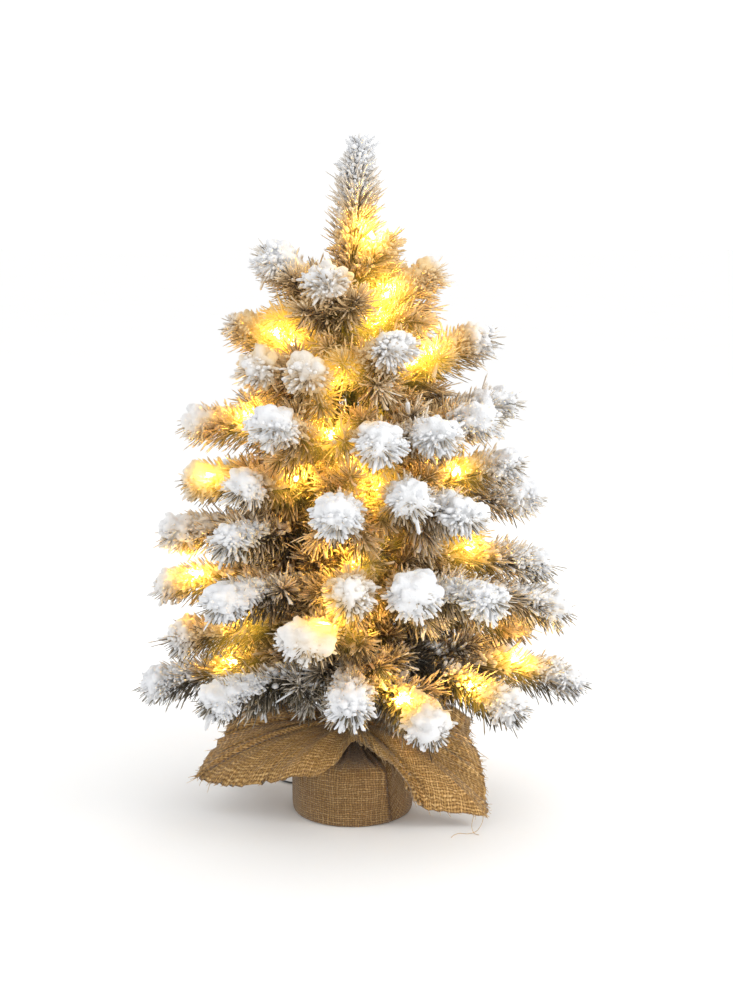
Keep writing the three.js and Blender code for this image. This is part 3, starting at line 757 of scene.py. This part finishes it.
for number, name in enumerate(sorted(pivots)):
    rng = np.random.default_rng(4100 + number)
    pivot = pivots[name]
    main, side = sprig_tips(name, pivot)
    snow = HEAVY.get(name, 1.0)
    leader = name == "top_leader"
    soup = Soup()
    if leader:
        path = add_sprig(soup, pivot, main + LEADER_LEAN, rng, snow, LEADER_WHITE, 4, 0.0, 1.14, LEADER_TAPER)
        add_leader_flock(soup, path, rng)
        stems[name, "side"] = add_sprig(soup, pivot, BESIDE_LEADER, rng, 0.6, 0.1, 4, 0.0, 0.9)
    else:
        white = np.interp(int(name[4]), *WHITE_BY_TIER)
        path = add_sprig(soup, pivot, main, rng, snow, white, 4, rng.uniform(-0.055, 0.0))
    if side is not None:
        fork = along(path, np.array([FORK_AT * np.linalg.norm(main - pivot)]))[0]
        stems[name, "side"] = add_sprig(soup, fork, side, rng, snow, white, 2, rng.uniform(-0.05, 0.0))
    if not leader:
        add_twigs(soup, path, rng, snow, white)
    stems[name, "main"], soups[name] = path, soup

# ---------------------------------------------------------------- lamps
LAMPS = {  # branch: the arms that carry its lamps, and how far along each arm they are
    "tier1_branch_1": [("main", 0.55)], "tier1_branch_4": [("main", 0.72)],
    "tier1_branch_5": [("main", 0.70), ("side", 0.66)], "tier1_branch_6": [("side", 0.50), ("main", 0.80)],
    "tier1_branch_7": [("side", 0.60)], "tier2_branch_1": [("main", 0.45), ("main", 0.92)],
    "tier2_branch_2": [("main", 0.60)], "tier2_branch_3": [("main", 0.68), ("main", 0.86), ("side", 0.70)],
    "tier3_branch_1": [("main", 0.80)], "tier3_branch_3": [("main", 0.46)],
    "tier3_branch_6": [("side", 0.60), ("main", 0.85)], "tier3_branch_7": [("main", 0.70), ("side", 0.50)],
    "tier4_branch_2": [("main", 0.56)], "tier4_branch_3": [("main", 0.60)],
    "tier5_branch_1": [("main", 0.86), ("side", 0.32)], "tier5_branch_3": [("side", 0.38)],
    "tier5_branch_4": [("side", 0.55)], "tier5_branch_5": [("side", 0.62)],
    "tier5_branch_6": [("side", 0.70), ("main", 0.55)], "tier6_branch_1": [("main", 0.60)],
    "tier6_branch_2": [("main", 0.38)], "tier6_branch_5": [("main", 0.60)],
    "tier6_branch_6": [("side", 0.60)], "tier7_branch_1": [("main", 0.66), ("main", 0.52)],
    "tier7_branch_2": [("side", 0.50)],
    "tier7_branch_4": [("main", 0.60), ("main", 0.45)], "tier7_branch_5": [("main", 0.60)],
    "tier7_branch_6": [("main", 0.70)], "tier8_branch_3": [("main", 0.16), ("main", 0.48)],
    "tier8_branch_4": [("main", 0.60)], "top_leader": [("side", 0.92)],
}
GLOW_COLOUR = (1.0, 0.64, 0.10)
GLOW_WATTS = 0.14
POLE_GLOW_WATTS = 0.55
# how far the painted amber tint and the painted glow on the foliage reach from a lamp
PAINTED_LAMPLIGHT_REACH, PAINTED_GLOW_REACH = 48 * MM, 17 * MM
LAMP_PROFILE = [(0, 0), (1.0, 0.2), (1.65, 1.2), (1.75, 3.2), (1.4, 4.8), (0.7, 5.8), (0, 6.1)]
SOCKET_PROFILE = [(0, -4.2), (0.9, -4.2), (1.3, -3.6), (1.45, 0.2), (1.1, 0.9), (0, 0.9)]
SOCKET_END = 3.6 * MM  # a lamp's lead goes in here, behind its foot
GLOW_AHEAD, POLE_GLOW_AHEAD = 8.2 * MM, 9 * MM  # the point lights sit just past the tips of the lamps
LAMP_OFF_WIRE = 13 * MM
FRONT_LIMIT = 30 * MM  # lamps nearer than this face the front, the others the back
WIRE_RADIUS = 0.45 * MM
LAMP_SLOT, WIRE_SLOT, SPLICE_SLOT = 0, 1, 2


def scaled(profile):
    return [(r * MM, d * MM) for r, d in profile]


def add_lamp(soup, at, heading):
    soup.add(*lathe(scaled(SOCKET_PROFILE), at, heading, 8), slot=WIRE_SLOT)
    soup.add(*lathe(scaled(LAMP_PROFILE), at, heading, 10), slot=LAMP_SLOT)


lit = []


def glow(name, at, body, watts):
    lit.append(at)
    light = bpy.data.lights.new(name, "POINT")
    light.energy = watts
    light.color = GLOW_COLOUR
    light.shadow_soft_size = 2.2 * MM
    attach(placed(name, light, at), body)


for number, (name, places) in enumerate(sorted(LAMPS.items())):
    rng = np.random.default_rng(7700 + number)
    soup = Soup()
    for count, (arm, share) in enumerate(places):
        path = stems[name, arm]
        reach = share * travelled(path)[-1]
        at, ahead, up, _ = stem_frame_at(path, reach)
        shown = np.array([0, -1.0 if at[1] < FRONT_LIMIT else 1.0, 0])
        shown = unit(shown - ahead * np.dot(shown, ahead))
        out = unit(up * rng.uniform(0.5, 1.0) + shown * rng.uniform(0.5, 1.0))
        foot = at + out * LAMP_OFF_WIRE
        heading = unit(out + ahead * rng.uniform(0.2, 0.8))
        add_lamp(soup, foot, heading)
        glow(f"{name}_glow_{count}", foot + heading * GLOW_AHEAD, name, GLOW_WATTS)
        # two wires wind round the branch and run in behind the socket
        run = np.linspace(4 * MM, reach, 26)
        on, _, wind_up, wind_side = stem_frame(path, run)
        turn = run / (46 * MM) * math.tau + rng.uniform(0, 6)
        for strand in (0.0, 0.5):
            off_axis = (2.6 + 1.2 * np.sin(run / (17 * MM)))[:, None] * MM
            wire = on + turned(turn + strand, wind_side, wind_up) * off_axis
            wire = np.vstack([wire, foot - heading * 9 * MM, foot - heading * SOCKET_END])
            soup.add(*tube(spline(wire, 3), WIRE_RADIUS, 5), slot=WIRE_SLOT)
    lamps = soup.piece(f"{name}_lamps", [LAMP, CLEAR_WIRE])
    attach(lamps, name)

# ---------------------------------------------------------------- light string up the pole
STRING_Y, STRING_FOOT, STRING_TOP = 6.7 * MM, 113 * MM, 462 * MM
POLE_LAMP_HEIGHTS = (164, 202, 239, 278, 320, 365, 410, 452)
BACK = math.radians(90)
SPLICE_PROFILE = [(0, 0), (1.3, 0), (2.0, 2.5), (2.1, 7), (2.0, 12.5), (1.2, 15), (0, 15)]
SPLICE_FOOT, SPLICE_TOP = np.array([0, 17, 104.2]) * MM, np.array([0, 7.3, 116]) * MM
string = Soup()
z = np.linspace(STRING_FOOT, STRING_TOP, 230)
for start in (0, math.pi):
    turn = z / (11 * MM) * math.tau + start
    weave = 0.9 * MM * np.sin(z / (29 * MM) * math.tau)
    wire = np.stack([weave + 0.5 * MM * np.cos(turn), STRING_Y + 0.5 * MM * np.sin(turn), z], -1)
    string.add(*tube(wire, WIRE_RADIUS, 6), slot=WIRE_SLOT)
string.add(*lathe(scaled(SPLICE_PROFILE), SPLICE_FOOT, SPLICE_TOP - SPLICE_FOOT, 12), slot=SPLICE_SLOT)
for count, height in enumerate(POLE_LAMP_HEIGHTS):
    turn = BACK + GOLDEN_ANGLE * count
    way = np.array([math.cos(turn), math.sin(turn), 0])
    foot, heading = way * 11 * MM + [0, 0, height * MM], way + [0, 0, 0.33]
    # the lead goes round the pole from the string at its back, rising to the socket
    ways = [BACK + (turn - BACK) % math.tau * k / 6 for k in range(7)]
    lead_in = [(7.4 * math.cos(a), 7.4 * math.sin(a), height - 9 + 1.3 * k) for k, a in enumerate(ways)]
    lead_in = np.vstack([np.array(lead_in) * MM, foot - unit(heading) * SOCKET_END])
    string.add(*tube(spline(lead_in, 4), WIRE_RADIUS, 5), slot=WIRE_SLOT)
    add_lamp(string, foot, heading)
    glow(f"pole_glow_{count}", foot + unit(heading) * POLE_GLOW_AHEAD, "root", POLE_GLOW_WATTS)
light_string = string.piece("light_string_run", [LAMP, CLEAR_WIRE, DARK_WIRE])
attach(light_string, "root")
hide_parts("light_string")

# ---------------------------------------------------------------- sprays on the pole
# Short sprays of needles grow from the pole between the branches.
CORE_SPRAYS, CORE_LOW, CORE_STEP, CORE_LENGTH, CORE_RADIUS = 52, 126 * MM, 6.5 * MM, 50 * MM, 6.5 * MM
core, rng = Soup(), np.random.default_rng(88)
for count in range(CORE_SPRAYS):
    turn = GOLDEN_ANGLE * count
    out = np.array([math.cos(turn), math.sin(turn), rng.uniform(0.1, 0.5)])
    foot = np.array([0, 0, CORE_LOW + count * CORE_STEP]) + out * [CORE_RADIUS, CORE_RADIUS, 0]
    line = stem_line(foot, foot + unit(out) * CORE_LENGTH, rng, 0.0)
    add_needles(core, line, rng, 1 * MM, -0.26, 0.9, 0, 2.2)
soups["root"] = core

# ---------------------------------------------------------------- foliage pieces
# Painted lamplight: the flock and needles close to a lamp are tinted amber and given a painted glow, so each
# mesh knows how near the lamps are.
lit = np.array(lit)
for name, soup in soups.items():
    foliage = soup.piece(f"{name}_foliage", [NEEDLE, FLOCK, STEM])
    points = np.concatenate(soup.points)
    for attribute, reach in (("glow", PAINTED_LAMPLIGHT_REACH), ("lit", PAINTED_GLOW_REACH)):
        near = np.zeros(len(points))
        for lamp_at in lit:
            near += np.exp(-(((points - lamp_at) ** 2).sum(axis=1)) / reach**2)
        layer = foliage.data.attributes.new(attribute, "FLOAT", "POINT")
        layer.data.foreach_set("value", np.clip(near, 0, 1).astype(np.float32))
    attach(foliage, name)
    if name != "root":
        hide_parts(name)

# ---------------------------------------------------------------- trunk tape
TAPE_LOW, TAPE_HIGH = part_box("trunk_tape")
TAPE_RINGS, TAPE_SIDES, TAPE_PITCH = 260, 28, 13 * MM
TAPE_RADIUS, TAPE_LAP, TAPE_INSIDE = 4.75 * MM, 0.42 * MM, 0.68
tape_z = np.linspace(TAPE_LOW[2], TAPE_HIGH[2], TAPE_RINGS)[:, None]
tape_turn = np.linspace(0, math.tau, TAPE_SIDES, endpoint=False)
tape_radius = TAPE_RADIUS + TAPE_LAP * ((tape_z / TAPE_PITCH + tape_turn / math.tau) % 1.0)
rings = [tape_radius * np.cos(tape_turn), tape_radius * np.sin(tape_turn), tape_z + 0 * tape_radius]
outer = np.stack(rings, -1).reshape(-1, 3)
inner = outer * [TAPE_INSIDE, TAPE_INSIDE, 1]
quads = ring_quads(TAPE_RINGS, TAPE_SIDES)
k = np.arange(TAPE_SIDES)
k_nxt = (k + 1) % TAPE_SIDES
top, inside = (TAPE_RINGS - 1) * TAPE_SIDES, TAPE_RINGS * TAPE_SIDES
ends = np.vstack([
    np.stack([k, inside + k, inside + k_nxt, k_nxt], -1),
    np.stack([top + k, top + k_nxt, inside + top + k_nxt, inside + top + k], -1),
])
soup = Soup()
soup.add(np.vstack([outer, inner]), np.vstack([quads, quads[:, ::-1] + inside, ends]))
tape = soup.piece("trunk_tape_wrap", [TAPE])
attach(tape, "root")
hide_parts("trunk_tape")

# ---------------------------------------------------------------- burlap
# One square cut of cloth, worked out from its middle: under the drum, up its side, over the shoulder,
# through the tied neck, and out to its cut edge. Angles run round the cloth: 0 is +X, and its corners
# lie at the odd 45s.
HALF_CUT = 200 * MM
CLOTH = 1.0 * MM
BODY = [  # distance from the middle of the cloth, radius, height
    (0, 0, 0.7), (30, 30, 0.7), (50, 50.5, 0.7), (55, 54.2, 1.2), (58, 55.2, 4), (80, 55.6, 26),
    (102, 55.4, 48), (106, 54.0, 51.6), (110, 50.8, 54.0), (124, 37, 58.5), (136, 24.5, 63), (144, 16, 69),
    (150, 11.6, 76), (156, 13.5, 82.5),
]
RIM = [  # angle round the cloth, then where its cut edge is
    (-90, -1, -27, 71), (-84, 10, -29, 70), (-76, 26, -43, 62), (-67, 44, -55, 53), (-59, 64, -63, 37),
    (-52, 80, -65, 20), (-45, 121, -57, 13), (-31, 120, -45, 42), (-19, 114, -30, 65), (-8, 106, -12, 78),
    (8, 105, 14, 80), (25, 112, 44, 72), (45, 114, 88, 24), (62, 80, 92, 40), (76, 58, 76, 50),
    (84, 28, 50, 62), (90, 0, 30, 71), (96, -24, 46, 63), (104, -56, 78, 50), (118, -76, 92, 38),
    (135, -112, 86, 28), (155, -112, 50, 70), (172, -104, 30, 78), (188, -112, 14, 82), (204, -122, -4, 76),
    (225, -143, -22, 37), (238, -115, -43, 37), (247, -81, -52, 43), (255, -54, -57, 50),
    (262, -32, -57, 51), (267, -14, -49, 54),
]
CORNERS = [-45, 45, 135, 225]


def rim_points(angles):
    """The cut edge at cloth angles in degrees: smooth, and sharp at the corners."""
    keys = np.array([row[0] for row in RIM], float)
    places = np.array([row[1:] for row in RIM], float)
    corner = np.isin(keys, CORNERS)
    keys = np.concatenate([keys[-2:] - 360, keys, keys[:2] + 360])
    places = np.vstack([places[-2:], places, places[:2]])
    corner = np.concatenate([corner[-2:], corner, corner[:2]])
    slope = np.zeros_like(places)
    slope[1:-1] = (places[2:] - places[:-2]) / (keys[2:] - keys[:-2])[:, None]
    slope[corner] = 0
    wrapped = (angles + 90) % 360 - 90
    i = np.clip(np.searchsorted(keys, wrapped, side="right") - 1, 1, len(keys) - 3)
    gap = (keys[i + 1] - keys[i])[:, None]
    t = (wrapped - keys[i])[:, None] / gap
    h = (2 * t**3 - 3 * t**2 + 1, t**3 - 2 * t**2 + t, -2 * t**3 + 3 * t**2, t**3 - t**2)
    return (h[0] * places[i] + h[1] * gap * slope[i] + h[2] * places[i + 1] + h[3] * gap * slope[i + 1]) * MM


def pleats(theta, waves, seed):
    rng = np.random.default_rng(seed)
    return sum(a * np.sin(k * theta + rng.uniform(0, 6.28)) for k, a in waves)


def hump(degrees, middle, width):
    return np.exp(-(((degrees - middle) / width) ** 2))


AROUND, BODY_STEPS, EAR_STEPS = 420, 46, 40
FRONT, FRONT_LEFT = 270, 235  # degrees round the cloth
theta = np.linspace(0, math.tau, AROUND, endpoint=False)
degrees = np.degrees(theta)
body = spline(np.array([(r, z, d) for d, r, z in BODY], float), 12)
pick = np.interp(np.linspace(0, 1, BODY_STEPS + 1)[1:], np.linspace(0, 1, len(body)), np.arange(len(body)))
radius, height, cloth_run = (np.interp(pick, np.arange(len(body)), body[:, k]) * MM for k in range(3))
fine = pleats(theta, [(29, 0.8), (37, 0.7), (53, 0.35)], 11) * (1 - 0.7 * hump(degrees, FRONT, 34))
broad = pleats(theta, [(5, 0.4), (9, 0.6), (14, 0.5)], 12)
run_mm = cloth_run / MM
fine_size = np.interp(run_mm, [0, 60, 98, 112, 130, 144, 150, 156], [0, 0.0, 0.2, 1.5, 2.6, 1.9, 0.9, 1.5])
broad_size = np.interp(run_mm, [0, 56, 85, 105, 125, 150, 156], [0, 0.1, 0.45, 0.9, 0.9, 0.2, 0.8])
push = (fine_size[:, None] * fine[None] + broad_size[:, None] * broad[None]) * MM
# a lapped fold runs down the front of the drum, right of its middle: a lip, then a hollow behind it
FOLD_AT, LIP_WIDTH, HOLLOW_WIDTH = np.radians([-56, 15, 24])
LIP_HEIGHT, HOLLOW_DEPTH = 5.0 * MM, 2.0 * MM
fold_line = FOLD_AT + np.radians(np.interp(run_mm, [55, 105, 125], [3, -4, -14]))[:, None]
fold = (theta[None] - fold_line + math.pi) % math.tau - math.pi
lip = np.where((fold > -LIP_WIDTH) & (fold <= 0), (fold + LIP_WIDTH) / LIP_WIDTH, 0) ** 2
hollow = np.where((fold > 0) & (fold < HOLLOW_WIDTH), 1 - fold / HOLLOW_WIDTH, 0) ** 1.3
fold_size = np.interp(run_mm, [0, 54, 60, 104, 122, 140], [0, 0, 1, 1, 0.5, 0])[:, None]
push += (LIP_HEIGHT * lip - HOLLOW_DEPTH * hollow) * fold_size
ring_radius = radius[:, None] + push
body_points = [ring_radius * np.cos(theta), ring_radius * np.sin(theta), height[:, None] + 0 * push]
body_points = np.stack(body_points, -1)
sag = smoothstep(run_mm, 104, 112) * (1 - smoothstep(run_mm, 140, 150))
body_points[..., 2] += sag[:, None] * fine * MM

neck = body_points[-1]
ragged = np.random.default_rng(31).normal(0, 0.55 * MM, (AROUND, 3))
rim = rim_points(degrees) + ragged
u = (np.arange(1, EAR_STEPS + 1) / EAR_STEPS)[:, None, None]
reach = np.linalg.norm(rim - neck, axis=1)[:, None]
lift = np.clip(reach / (110 * MM), 0.25, 1.1)
bulge = np.hstack([np.zeros((AROUND, 1)), np.sin(theta)[:, None] * 9 * lift, 22 * lift]) * MM
control = neck * 0.6 + rim * 0.4 + bulge
ear_points = (1 - u) ** 2 * neck + 2 * u * (1 - u) * control + u**2 * rim
round_ear = np.roll(ear_points, -1, axis=1) - np.roll(ear_points, 1, axis=1)
out_ear = np.gradient(ear_points, axis=0)
ear_normal = -unit(np.cross(round_ear, out_ear))
ear_folds = pleats(theta, [(7, 1.0), (12, 1.0), (19, 0.7), (34, 0.3)], 13)
ear_size = np.sin(np.clip(u[..., 0] * 1.3 + 0.08, 0, 1) * math.pi / 2) * np.clip(reach / (90 * MM), 0.3, 1).T
curl = smoothstep(u[..., 0], 0.84, 1.0) ** 1.5 * np.clip(reach / (60 * MM), 0, 1).T
ear_folds = ear_folds * (1 - 0.45 * hump(degrees, FRONT_LEFT, 26))
EAR_FOLD, EDGE_CURL, LOWEST = 3.2 * MM, 5.0 * MM, 1.2 * MM
ear_points = ear_points + ear_normal * (ear_size * ear_folds * EAR_FOLD - curl * EDGE_CURL)[..., None]
ear_points[..., 2] = np.maximum(ear_points[..., 2], LOWEST)

cut_reach = HALF_CUT / np.maximum(np.abs(np.cos(theta)), np.abs(np.sin(theta)))
ear_cloth = cloth_run[-1] + (cut_reach[None] - cloth_run[-1]) * u[..., 0]
sheet_points = np.concatenate([body_points, ear_points]).reshape(-1, 3)
sheet_run = np.concatenate([np.broadcast_to(cloth_run[:, None], push.shape), ear_cloth])
flat_xy = np.stack([sheet_run * np.cos(theta), sheet_run * np.sin(theta)], -1).reshape(-1, 2)
rows = BODY_STEPS + EAR_STEPS
sheet_points = np.vstack([sheet_points, [0, 0, BODY[0][2] * MM]])
flat_xy = np.vstack([flat_xy, [0, 0]])
quads = ring_quads(rows, AROUND)[:, [1, 2, 3, 0]]
k = np.arange(AROUND)
middle = np.stack([np.full(AROUND, rows * AROUND), (k + 1) % AROUND, k], -1)
# painted shade: the colour is darker on the drum, in the neck, towards the shoulder under the tree, on the
# front left ear and in the crease of the fold, with a painted highlight beside the crease; lightest at the
# cut edge
painted_shading = np.interp(sheet_run / MM, [100, 112, 122, 150, 170, 192], [0.36, 0.26, 0.06, 0.0, 0.45, 1.0])
# painted shade on the front left ear, towards its edge
painted_shading *= 1 - 0.22 * hump(degrees, FRONT_LEFT, 45) * smoothstep(sheet_run, 150 * MM, 190 * MM)
# painted shade in the crease of the fold, and a painted highlight beside it
painted_shading[: len(fold)] -= 0.55 * hump(np.degrees(fold), 1.5, 3.0) * fold_size
painted_shading[: len(fold)] += 0.25 * hump(np.degrees(fold), 20, 12) * fold_size
soup = Soup()
soup.add(sheet_points, [quads, middle], frost=np.append(np.clip(painted_shading, 0, 1).ravel(), 1.0))
burlap = soup.piece("burlap_cloth", [BURLAP])
# the threads run level round the front of the drum, where the cloth is pulled straight, and square elsewhere
FRONT_FROM, FRONT_TO, FRONT_RUN, DRUM_RADIUS = 198, 304, 116 * MM, 55 * MM
level_xy = np.broadcast_arrays(DRUM_RADIUS * (theta - math.radians(FRONT)), -sheet_run)
level_xy = np.vstack([np.stack(level_xy, -1).reshape(-1, 2), [0, 0]])
in_front = (degrees > FRONT_FROM) & (degrees < FRONT_TO) & (sheet_run[:-1] < FRONT_RUN)
in_front &= np.arange(rows - 1)[:, None] < BODY_STEPS - 1
uv = burlap.data.uv_layers.new(name="cloth")
loop_vertex = np.empty(len(burlap.data.loops), np.int32)
burlap.data.loops.foreach_get("vertex_index", loop_vertex)
level = np.concatenate([np.repeat(in_front.ravel(), 4), np.zeros(3 * AROUND, bool)])
cloth_uv = np.where(level[:, None], level_xy[loop_vertex], flat_xy[loop_vertex])
uv.data.foreach_set("uv", cloth_uv.astype(np.float32).ravel())
solid = burlap.modifiers.new("cloth thickness", "SOLIDIFY")
solid.thickness = CLOTH
solid.offset = 0
thick = bpy.data.meshes.new_from_object(burlap.evaluated_get(bpy.context.evaluated_depsgraph_get()))
burlap.modifiers.clear()
burlap.data = thick

# frayed threads all round the cut edge, and few where it is folded under
rng = np.random.default_rng(57)
FRAY, FOLDED_FROM, FOLDED_TO = 760, 238, 272  # the edge is folded under between these degrees
edge_at = rng.uniform(0, AROUND, FRAY)
folded_under = (edge_at / AROUND * 360 > FOLDED_FROM) & (edge_at / AROUND * 360 < FOLDED_TO)
edge_at = edge_at[~folded_under | (rng.uniform(size=FRAY) < 0.12)]
n = len(edge_at)
low, share = edge_at.astype(int), (edge_at % 1)[:, None]
last, before = ear_points[-1], ear_points[-3]
edge = last[low] * (1 - share) + last[(low + 1) % AROUND] * share
outward = unit(last - before)[low]
onward = unit(np.roll(last, -1, axis=0) - np.roll(last, 1, axis=0))[low]
heading = unit(outward + onward * rng.normal(0, 0.22, (n, 1)) + rng.normal(0, 0.14, (n, 3)))
length = rng.gamma(2.0, 0.9, n) * MM + 0.7 * MM
strand = np.tile([0.30, 0.27, 0.2], (n, 1)) * MM
soup = Soup()
foot, bend = edge - outward * 1.5 * MM, rng.normal(0, 0.35, (n, 3))
points, faces = spikes(foot, heading, length + 1.5 * MM, strand, np.array([0.05, 0.5, 0.92]), bend, 1.0, 4)
points[..., 2] = np.maximum(points[..., 2], 0.3 * MM)
soup.add(points, faces)
LOOSE_THREADS = [
    [(118, -54, 13), (117, -60, 8), (112, -66, 2), (104, -70, 0.5), (96, -69, 0.5), (91, -73, 0.5),
     (88, -79, 0.5)],
    [(110, -57, 15), (108, -63, 11), (107, -66, 5), (109, -69, 0.6), (113, -73, 0.5)],
    [(112, 87, 25), (116, 92, 18), (114, 95, 10), (110, 97, 3), (103, 99, 0.5)],
]
for thread in LOOSE_THREADS:
    soup.add(*tube(spline(np.array(thread, float) * MM, 8), 0.28 * MM, 5))
fringe = soup.piece("burlap_fringe", [JUTE])
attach(burlap, "root")
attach(fringe, "root")
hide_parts("burlap_wrap")

# ---------------------------------------------------------------- neck tie
TIE_RADIUS, TIE_HEIGHT, TIE_RISE, TURNS = 14.0, 77, 1.8, 3
turn = np.linspace(0, TURNS * math.tau, 200)
coil_z = TIE_HEIGHT + TIE_RISE * (turn / (math.pi * TURNS) - 1)
KNOT = [(-3, -14.6, 77), (-1.5, -16.5, 78.5), (1.5, -16.8, 77.5), (2.5, -15.5, 75.5), (0, -15.2, 75),
        (-2.5, -16.2, 76.5), (-1, -17.5, 78)]
RIGHT_END = [(1, -16.5, 77.5), (4, -18.5, 75), (6, -20.5, 71), (7, -24, 68.5), (9, -27, 68)]
LEFT_END = [(-1, -16.5, 77), (-4, -19, 74.5), (-5, -22, 71), (-8, -25, 69), (-10, -29, 67.5)]
coil = np.stack([TIE_RADIUS * np.sin(turn), -TIE_RADIUS * np.cos(turn), coil_z], -1)
soup = Soup()
for path in (coil, spline(KNOT, 10), spline(RIGHT_END, 8), spline(LEFT_END, 8)):
    add_twisted(soup, path * MM, 4.2 * MM, 0.48 * MM, 0.5 * MM, 3)
tie = soup.piece("neck_twine", [JUTE])
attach(tie, "root")
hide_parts("neck_tie")

# ---------------------------------------------------------------- finishes on the CAD pieces
CAD_FINISHES = {
    "base_weight": CEMENT, "trunk_pole": STEEL, "battery_case": WHITE_PLASTIC, "battery_door": WHITE_PLASTIC,
    "battery_switch": DARK_PLASTIC, "lead_grommet": DARK_PLASTIC, "switch_board": BOARD,
    "contact_plate_left": SPRING, "contact_plate_right": SPRING,
    "aa_cell_1": CELL, "aa_cell_2": CELL, "aa_cell_3": CELL,
}
for name, finish in CAD_FINISHES.items():
    for slot in frame["nodes"][name].material_slots:
        slot.material = finish

# ---------------------------------------------------------------- floor and light
FLOOR_HALF = 40.0
floor_mesh = bpy.data.meshes.new("floor")
corners = [(x * FLOOR_HALF, y * FLOOR_HALF, 0.0) for x, y in ((-1, -1), (1, -1), (1, 1), (-1, 1))]
floor_mesh.from_pydata(corners, [], [(0, 1, 2, 3)])
floor = placed("floor", floor_mesh)
paper = Finish("paper_floor", Roughness=0.9)
paper_tone = paper.ramp(paper.noise(3, 2), [(0.3, (0.92, 0.92, 0.915)), (0.7, (0.93, 0.93, 0.925))])
floor_mesh.materials.append(paper.show(paper_tone))
# the paper takes no tint from the lamps
receivers = bpy.data.collections.new("lamp_receivers")
receivers.objects.link(floor)
receivers.collection_objects[0].light_linking.link_state = "EXCLUDE"
for obj in bpy.context.scene.objects:
    if obj.type == "LIGHT" and obj.data.type == "POINT":
        obj.light_linking.receiver_collection = receivers

world = bpy.data.worlds.new("studio")
bpy.context.scene.world = world
world.use_nodes = True
sky = world.node_tree.nodes["Background"]
sky.inputs["Color"].default_value = (1, 1, 1, 1)
sky.inputs["Strength"].default_value = 1.08


def softbox(name, at, target, size, watts, colour=(1, 1, 1)):
    light = bpy.data.lights.new(name, "AREA")
    light.shape = "DISK"
    light.size = size
    light.energy = watts
    light.color = colour
    obj = placed(name, light, at)
    obj.rotation_euler = (Vector(target) - Vector(at)).to_track_quat("-Z", "Y").to_euler()


softbox("key", (1.6, -0.8, 1.25), (0, 0, 0.2), 0.8, 15, (1.0, 0.99, 0.97))
softbox("fill", (-1.4, -0.9, 1.3), (0, 0, 0.3), 1.2, 2, (0.96, 0.98, 1.0))
softbox("rim", (0.2, 1.5, 1.6), (0, 0, 0.3), 1.0, 5)
bpy.context.scene.view_settings.view_transform = "Standard"
